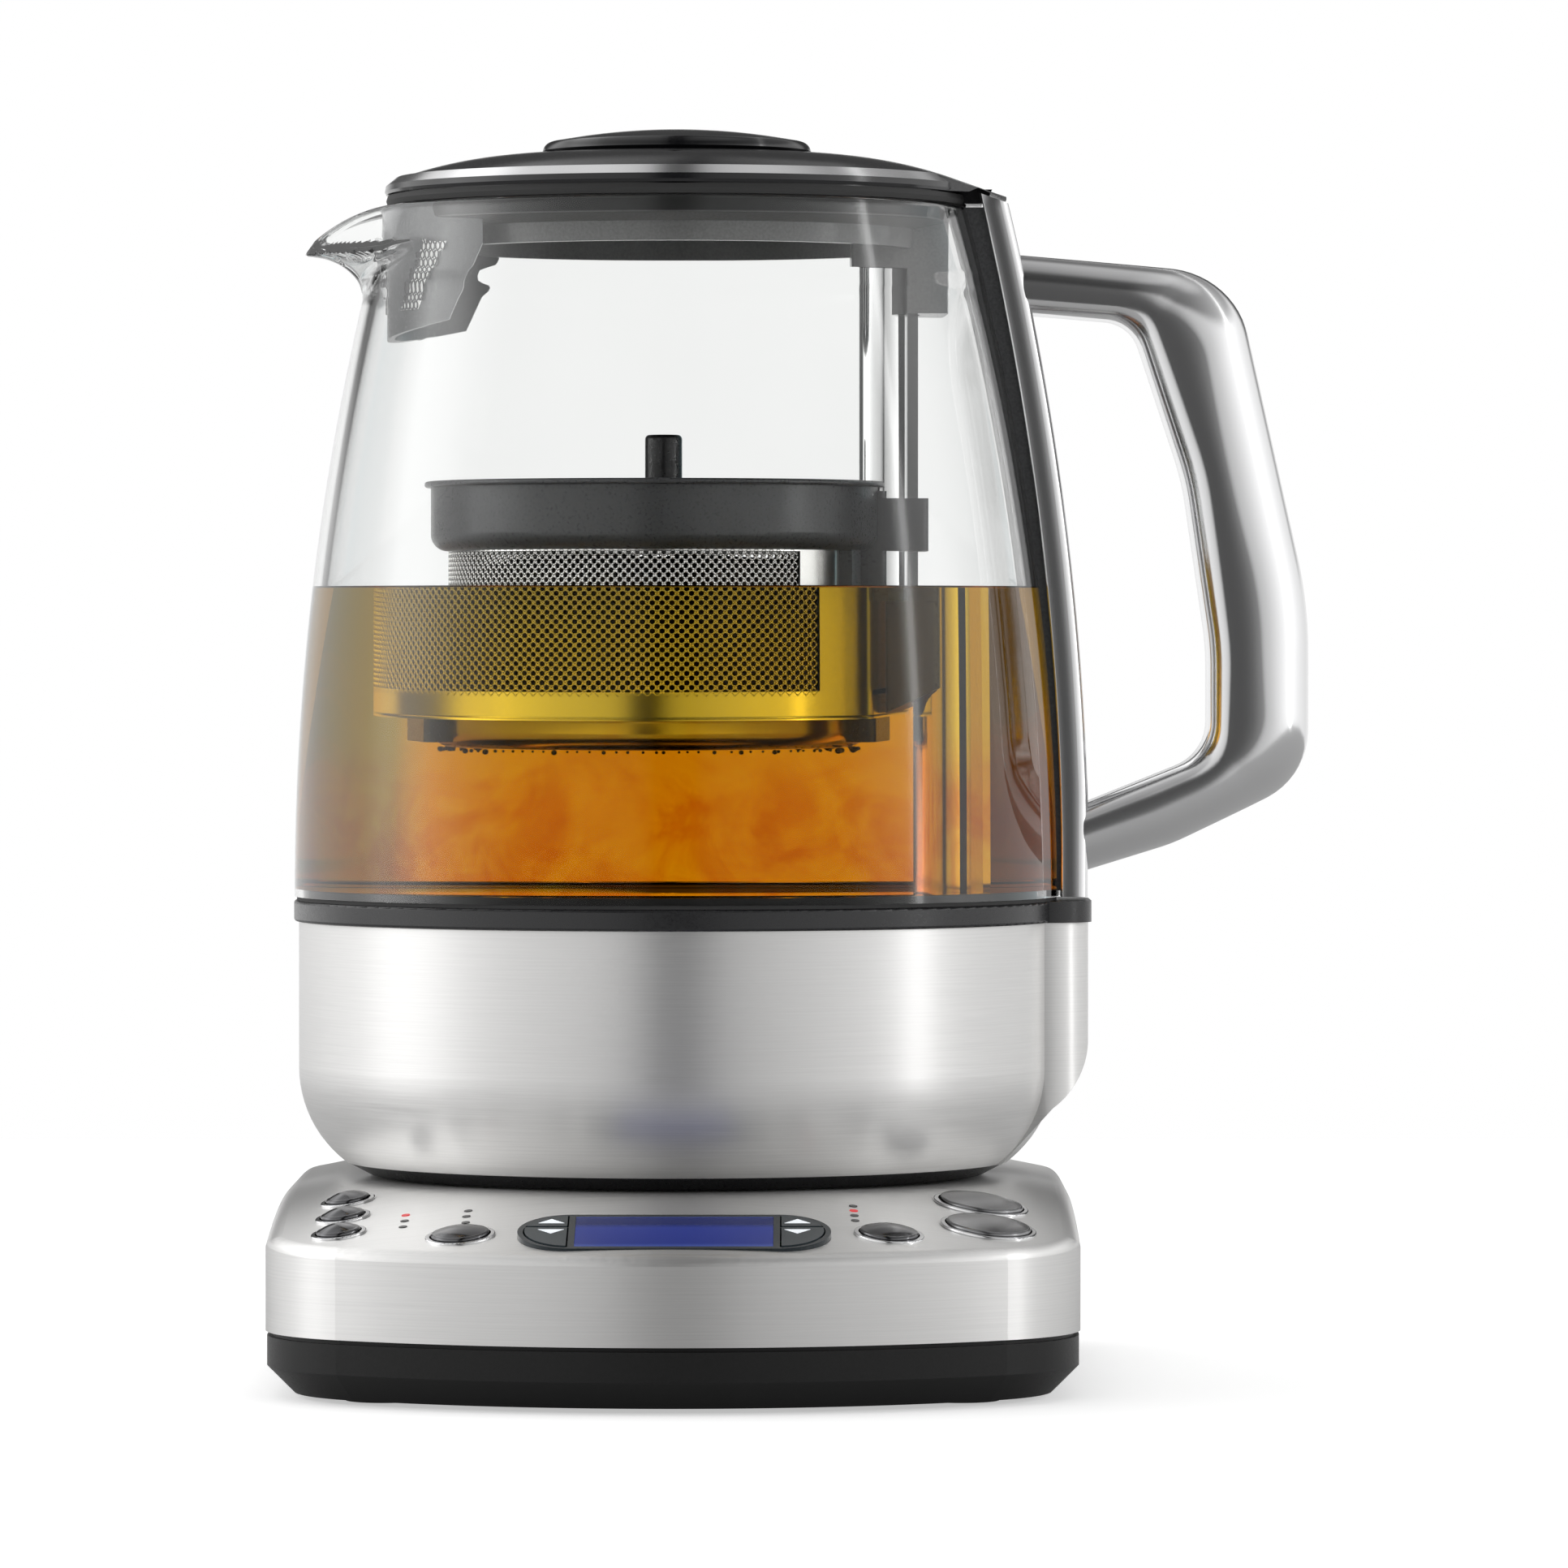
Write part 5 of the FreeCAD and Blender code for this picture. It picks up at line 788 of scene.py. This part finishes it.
def tea_leaves():
    """Heap of steeping leaves that fills the lower cup, uneven on top."""
    rings = []
    for z, r in HEAP:
        ring = []
        for t in even_turns(90):
            x, y, _ = cup_point(t, r, CUP_BACK_X - 1.2, z)
            lift = 0.0 if z < 166.0 else 0.7 * math.sin(5 * t) + 0.5 * math.sin(11 * t + 1.0)
            ring.append((x, y, z + lift))
        rings.append(ring)
    verts, faces = skin(rings, cap_ends=True)
    heap = piece("steeping_leaves", verts, faces, LEAVES, "tea_basket")


tea_leaves()


# ---------------------------------------------------------------- lid's filter
FILTER_R = 43.0
FILTER_X = -17.99
SLOT_Z = 228.6
SLOT_TURN = math.radians(38.0)
SCREEN_HALF = (3.6, 6.9)     # half width, half height
SCREEN_LEAN = 0.65           # shift to the side per unit of height
HOLE_GRID = (1.40, 1.70)     # from hole to hole across, and from row to row
HOLE_HALF = (0.53, 0.70)
CLOTH_OFFS = (0.03, 0.12)    # of its back and front off the filter's wall
GRILLE_OFFS = (0.14, 0.42)
CLOTH_STEPS = 6
OCTAGON_FLAT = 0.924         # distance of an octagon's sides for corners at 1


def on_filter(turn, across, up, off):
    """Point on the filter's unrolled outer wall, some way off it."""
    angle = math.pi + turn + across / FILTER_R
    r = FILTER_R + off
    return (FILTER_X + r * math.cos(angle), r * math.sin(angle), SLOT_Z + up)


def filter_cloth(turn, side, verts, faces):
    """Pale cloth on the window, leaning with it."""
    start = len(verts)
    half_u, half_v = SCREEN_HALF
    for off in CLOTH_OFFS:
        for j in (-1, 1):
            for i in range(CLOTH_STEPS + 1):
                u = -half_u + 2 * half_u * i / CLOTH_STEPS
                verts.append(on_filter(turn, u + side * SCREEN_LEAN * j * half_v, j * half_v, off))
    row = CLOTH_STEPS + 1
    for low in (start, start + 2 * row):
        for i in range(low, low + CLOTH_STEPS):
            faces.append((i, i + 1, i + row + 1, i + row))
    rim = list(range(row)) + list(range(2 * row - 1, row - 1, -1))
    for a, b in zip(rim, rim[1:] + rim[:1]):
        faces.append((start + a, start + b, start + 2 * row + b, start + 2 * row + a))


def grille_cell(cell_u, cell_v):
    """Outline of a cell and of its hole, eight points each, about the cell's middle."""
    outline, hole = [], []
    for k in range(8):
        angle = math.radians(45.0 * k + 22.5)
        cos_a, sin_a = math.cos(angle), math.sin(angle)
        reach = 1.0 / max(abs(cos_a), abs(sin_a))
        outline.append((cell_u * cos_a * reach, cell_v * sin_a * reach))
        hole.append((HOLE_HALF[0] * cos_a / OCTAGON_FLAT, HOLE_HALF[1] * sin_a / OCTAGON_FLAT))
    return outline + hole


def filter_grille(turn, side, verts, faces):
    """Moulded grille over the cloth: staggered long holes, each in a cell of its own."""
    half_u, half_v = SCREEN_HALF
    rows = int(2 * half_v / HOLE_GRID[1])
    columns = int(2 * half_u / HOLE_GRID[0])
    cell = grille_cell(half_u / columns, half_v / rows)
    for j in range(rows):
        v = -half_v + (j + 0.5) * 2 * half_v / rows
        for i in range(columns):
            u = -half_u + (i + 0.5) * 2 * half_u / columns + (0.25 if j % 2 else -0.25) * HOLE_GRID[0]
            u += side * SCREEN_LEAN * v
            start = len(verts)
            for off in GRILLE_OFFS:
                verts.extend(on_filter(turn, u + du, v + dv, off) for du, dv in cell)
            for k in range(start, start + 8):
                d = start + (k - start + 1) % 8
                faces.append((k, d, 8 + d, 8 + k))
                faces.append((16 + k, 16 + d, 24 + d, 24 + k))
                faces.append((8 + k, 8 + d, 24 + d, 24 + k))
                faces.append((k, d, 16 + d, 16 + k))


def filter_sheets():
    """Cloth and grille of the filter's three windows."""
    # the cloth's glow is painted light, standing in for light shining through it
    for name, build, look in (("filter_cloth", filter_cloth, FILTER_CLOTH_PAINTED_GLOW),
                              ("filter_grille", filter_grille, SMOKE_PLASTIC)):
        verts, faces = [], []
        for place in (-1, 0, 1):
            build(place * SLOT_TURN, place, verts, faces)
        sheet = piece(name, verts, faces, look, "lid")
        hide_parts("filter_mesh")


filter_sheets()


# -------------------------------------------------------- rib under lid's tail
RIB_HALF_WIDTH = 10.0
RIB_PROFILE = [(58.5, 244.6), (64.5, 244.6), (64.9, 245.1), (66.0, 247.6), (58.5, 247.6)]


def tail_rib():
    """Black rib under the lid's tail, in front of the strap's top."""
    sections = [[(x, y, z) for x, z in RIB_PROFILE] for y in (-RIB_HALF_WIDTH, RIB_HALF_WIDTH)]
    verts, faces = skin(sections, cap_ends=True)
    rib = piece("tail_rib", verts, faces, BLACK_GLOSS, "lid")


tail_rib()


# -------------------------------------------------------------------- bubbles
BUBBLES = 92
BUBBLE_RINGS, BUBBLE_SIDES = 5, 8


def scatter(k, stretch, scale):
    """A number from 0 to 1 that seems random but is the same each run."""
    return math.sin(stretch * (k + 1)) * scale % 1.0


def bubbles():
    """Air bubbles that cling under the dish's edge and the clips."""
    verts, faces = [], []
    for k in range(BUBBLES):
        spread = scatter(k, 78.233, 12543.123)
        radius = 0.25 + 0.45 * scatter(k, 12.9898, 43758.5453) ** 2
        turn = 2 * math.pi * (k + 0.6 * spread) / BUBBLES
        reach = DISH_R - 2.6 + 1.6 * spread
        x, y = BASKET_X + reach * math.cos(turn), reach * math.sin(turn)
        spot = Vector((x, y, DISH_Z - 0.15 - 0.6 * radius))
        rings = []
        for i in range(BUBBLE_RINGS + 1):
            lean = math.pi * i / BUBBLE_RINGS
            rings.append([spot + radius * Vector((
                math.sin(lean) * math.cos(t), math.sin(lean) * math.sin(t), math.cos(lean)))
                for t in even_turns(BUBBLE_SIDES)])
        more, quads = skin(rings)
        faces += [tuple(i + len(verts) for i in quad) for quad in quads]
        verts += more
    # their dark olive colour is painted shade, standing in for light bent away by the air
    obj = piece("air_bubbles", verts, faces, BUBBLE_PAINTED_SHADE, "tea_basket")


bubbles()


# -------------------------------------------------------------- arrows on keys
ARROW_HALF = (2.6, 1.55)     # half width, half height
PRINT_W = (0.41, 0.47)       # underside and top of the print, off the panel
SCREEN_V = 18.4              # the display's middle, up the slope
UP_ARROW_V, DOWN_ARROW_V = SCREEN_V + 7.1, SCREEN_V - 0.8


def arrow(name, body, x, v, up):
    """White triangle printed on a key."""
    half_x, half_v = ARROW_HALF
    points = [(x - half_x, v - up * half_v), (x + half_x, v - up * half_v), (x, v + up * half_v)]
    verts = [on_panel(px, pv, w) for w in PRINT_W for px, pv in points]
    faces = [(0, 1, 2), (3, 4, 5), (0, 1, 4, 3), (1, 2, 5, 4), (2, 0, 3, 5)]
    mark = piece(name, verts, faces, ARROW_WHITE, body, smooth=False)


for side_name, arrow_x in (("left", -24.0), ("right", 25.2)):
    arrow(f"{side_name}_up_arrow", f"{side_name}_up_key", arrow_x, UP_ARROW_V, 1)
    arrow(f"{side_name}_down_arrow", f"{side_name}_down_key", arrow_x, DOWN_ARROW_V, -1)


# ---------------------------------------------------------------- floor, light
FLOOR_HALF, FLOOR_FRONT, FLOOR_BACK = 3.0, -0.45, 0.9


def floor():
    """Pale floor, which mirrors see darker."""
    mesh = bpy.data.meshes.new("floor")
    mesh.from_pydata([(-FLOOR_HALF, FLOOR_FRONT, 0.0), (FLOOR_HALF, FLOOR_FRONT, 0.0),
                      (FLOOR_HALF, FLOOR_BACK, 0.0), (-FLOOR_HALF, FLOOR_BACK, 0.0)], [], [(0, 1, 2, 3)])
    obj = bpy.data.objects.new("floor", mesh)
    bpy.context.scene.collection.objects.link(obj)
    mat, tree, shader = material("white_floor", Roughness=0.9, Emission_Strength=1.0)
    mirrored = add(tree, "ShaderNodeLightPath").outputs["Is Glossy Ray"]
    pale = ramp(tree, mirrored, [(0.0, grey(0.8)), (1.0, grey(0.42))])
    glow = ramp(tree, mirrored, [(0.0, grey(0.48)), (1.0, grey(0.06))])
    tree.links.new(pale, shader.inputs["Base Color"])
    tree.links.new(glow, shader.inputs["Emission Color"])
    mesh.materials.append(mat)


floor()

# Levels of the surround by turn, in degrees: 0 towards the front, 180 towards the back, and twice
# the azimuth of a wall that mirrors that direction to the front.
SURROUND = [
    (-180, 1.0), (-160, 1.0), (-134, 1.30), (-108, 1.65), (-98, 2.50), (-82, 2.40), (-66, 1.40),
    (-47, 1.05), (-27, 0.90), (-13, 0.76), (-8, 0.40), (-6, 0.05), (6, 0.05), (8, 0.35), (14, 0.66),
    (28, 0.80), (47, 1.05), (68, 1.35), (74, 1.50), (76.4, 3.0), (77.2, 6.5), (78.8, 6.5), (79.6, 3.0),
    (82, 1.50), (96, 1.35), (112, 1.15), (140, 0.95), (160, 1.0), (180, 1.0)]
# how far the surround is dimmed at both sides for rays through glass, and to what
FLANKS = [(-180, 0.0), (-166, 0.0), (-152, 1.0), (-118, 1.0), (-102, 0.0), (96, 0.0), (118, 1.0), (165, 1.0),
          (173, 0.0)]
FLANK_SHADES = [
    (0, (0.010, 0.010, 0.010, 1.0)), (118, (0.009, 0.015, 0.017, 1.0)), (128, (0.012, 0.020, 0.022, 1.0)),
    (146, (0.036, 0.048, 0.052, 1.0)), (153, (0.045, 0.064, 0.070, 1.0)), (160, (0.062, 0.078, 0.082, 1.0)),
    (167, (0.082, 0.086, 0.088, 1.0))]
STRENGTH = 10.0              # the colours are a tenth of the levels
PLAIN_LEVEL = 0.09


def by_turn(tree, turn, stops):
    return ramp(tree, turn, [((degrees + 180) / 360, colour) for degrees, colour in stops])


def graded(tree, fac, stops):
    return ramp(tree, fac, [(position, grey(level)) for position, level in stops])


def studio():
    """White surround with soft boxes at both sides of a dark slit that runs from the front over the top."""
    world = bpy.data.worlds.new("studio")
    bpy.context.scene.world = world
    world.use_nodes = True
    tree = world.node_tree
    tree.nodes.clear()
    direction = add(tree, "ShaderNodeTexCoord").outputs["Generated"]
    x, y, z = add(tree, "ShaderNodeSeparateXYZ", {0: direction}).outputs
    above = math_node(tree, "MAXIMUM", z, 0.0)
    rearward = math_node(tree, "MAXIMUM", y, 0.0)
    half_turn = math_node(tree, "ARCTAN2", x, math_node(tree, "SUBTRACT", 1.0, y))
    turn = math_node(tree, "ADD", math_node(tree, "DIVIDE", half_turn, math.pi), 0.5)
    rays = add(tree, "ShaderNodeLightPath").outputs

    # walls of light; the slit shows in mirrors only
    shade = by_turn(tree, turn, [(degrees, grey(level / STRENGTH)) for degrees, level in SURROUND])
    unlit = math_node(tree, "MULTIPLY", math_node(tree, "SUBTRACT", 1.0, rays["Is Glossy Ray"]), PLAIN_LEVEL)
    shade = math_node(tree, "MAXIMUM", shade, unlit)

    # ceiling, darker to the right
    side = graded(tree, math_node(tree, "ADD", math_node(tree, "MULTIPLY", x, 0.5), 0.5), [
        (0.0, 0.8), (0.40, 0.55), (0.47, 0.50), (0.53, 0.25), (0.62, 0.22), (1.0, 0.5)])
    raised = graded(tree, above, [(0.0, 0.0), (0.42, 0.0), (0.56, 1.0), (0.82, 1.0), (0.94, 0.25)])
    lit = mix(tree, 1.0, shade, mix(tree, raised, grey(1.0), side), "MULTIPLY")

    # dark band behind, for mirrors only
    behind = graded(tree, rearward, [(0.0, 0.0), (0.72, 0.0), (0.86, 1.0)])
    over = graded(tree, above, [(0.0, 0.0), (0.09, 0.0), (0.14, 1.0), (0.40, 1.0), (0.60, 0.0)])
    band = math_node(tree, "MULTIPLY", math_node(tree, "MULTIPLY", behind, over), rays["Is Glossy Ray"])
    lit = mix(tree, band, lit, grey(0.008))

    # dim flanks, for rays through glass only
    flank = by_turn(tree, turn, [(degrees, grey(share)) for degrees, share in FLANKS])
    flank = math_node(tree, "MULTIPLY", flank, rays["Is Transmission Ray"])
    lit = mix(tree, flank, lit, by_turn(tree, turn, FLANK_SHADES))

    # white backdrop, and white all around for the camera
    low = graded(tree, above, [(0.0, 1.0), (0.09, 1.0), (0.14, 0.0)])
    rear = graded(tree, rearward, [(0.0, 0.0), (0.90, 0.0), (0.94, 1.0)])
    backdrop = math_node(tree, "MAXIMUM", math_node(tree, "MULTIPLY", low, rear), rays["Is Camera Ray"])
    lit = mix(tree, backdrop, lit, grey(1.0 / STRENGTH))

    background = add(tree, "ShaderNodeBackground", {"Color": lit, "Strength": STRENGTH})
    out = add(tree, "ShaderNodeOutputWorld")
    tree.links.new(background.outputs[0], out.inputs[0])


studio()
bpy.context.scene.view_settings.view_transform = "Standard"

# ---------------------------------------------------------------------- camera
IMAGE_WIDTH = 1932.0         # pixels
FOCAL_LENGTH = 11236.0       # pixels
SENSOR_WIDTH = 36.0          # millimetres

camera_data = bpy.data.cameras.new("camera")
camera_data.sensor_width = SENSOR_WIDTH
camera_data.lens = FOCAL_LENGTH / IMAGE_WIDTH * SENSOR_WIDTH
camera_data.clip_end = 50.0
camera = bpy.data.objects.new("camera", camera_data)
bpy.context.scene.collection.objects.link(camera)
camera.location = (0.0225, -1.917, 0.1515)
aim = Vector((0.0225, 0.0, 0.1232))
camera.rotation_euler = (aim - camera.location).to_track_quat("-Z", "Y").to_euler()
bpy.context.scene.camera = camera
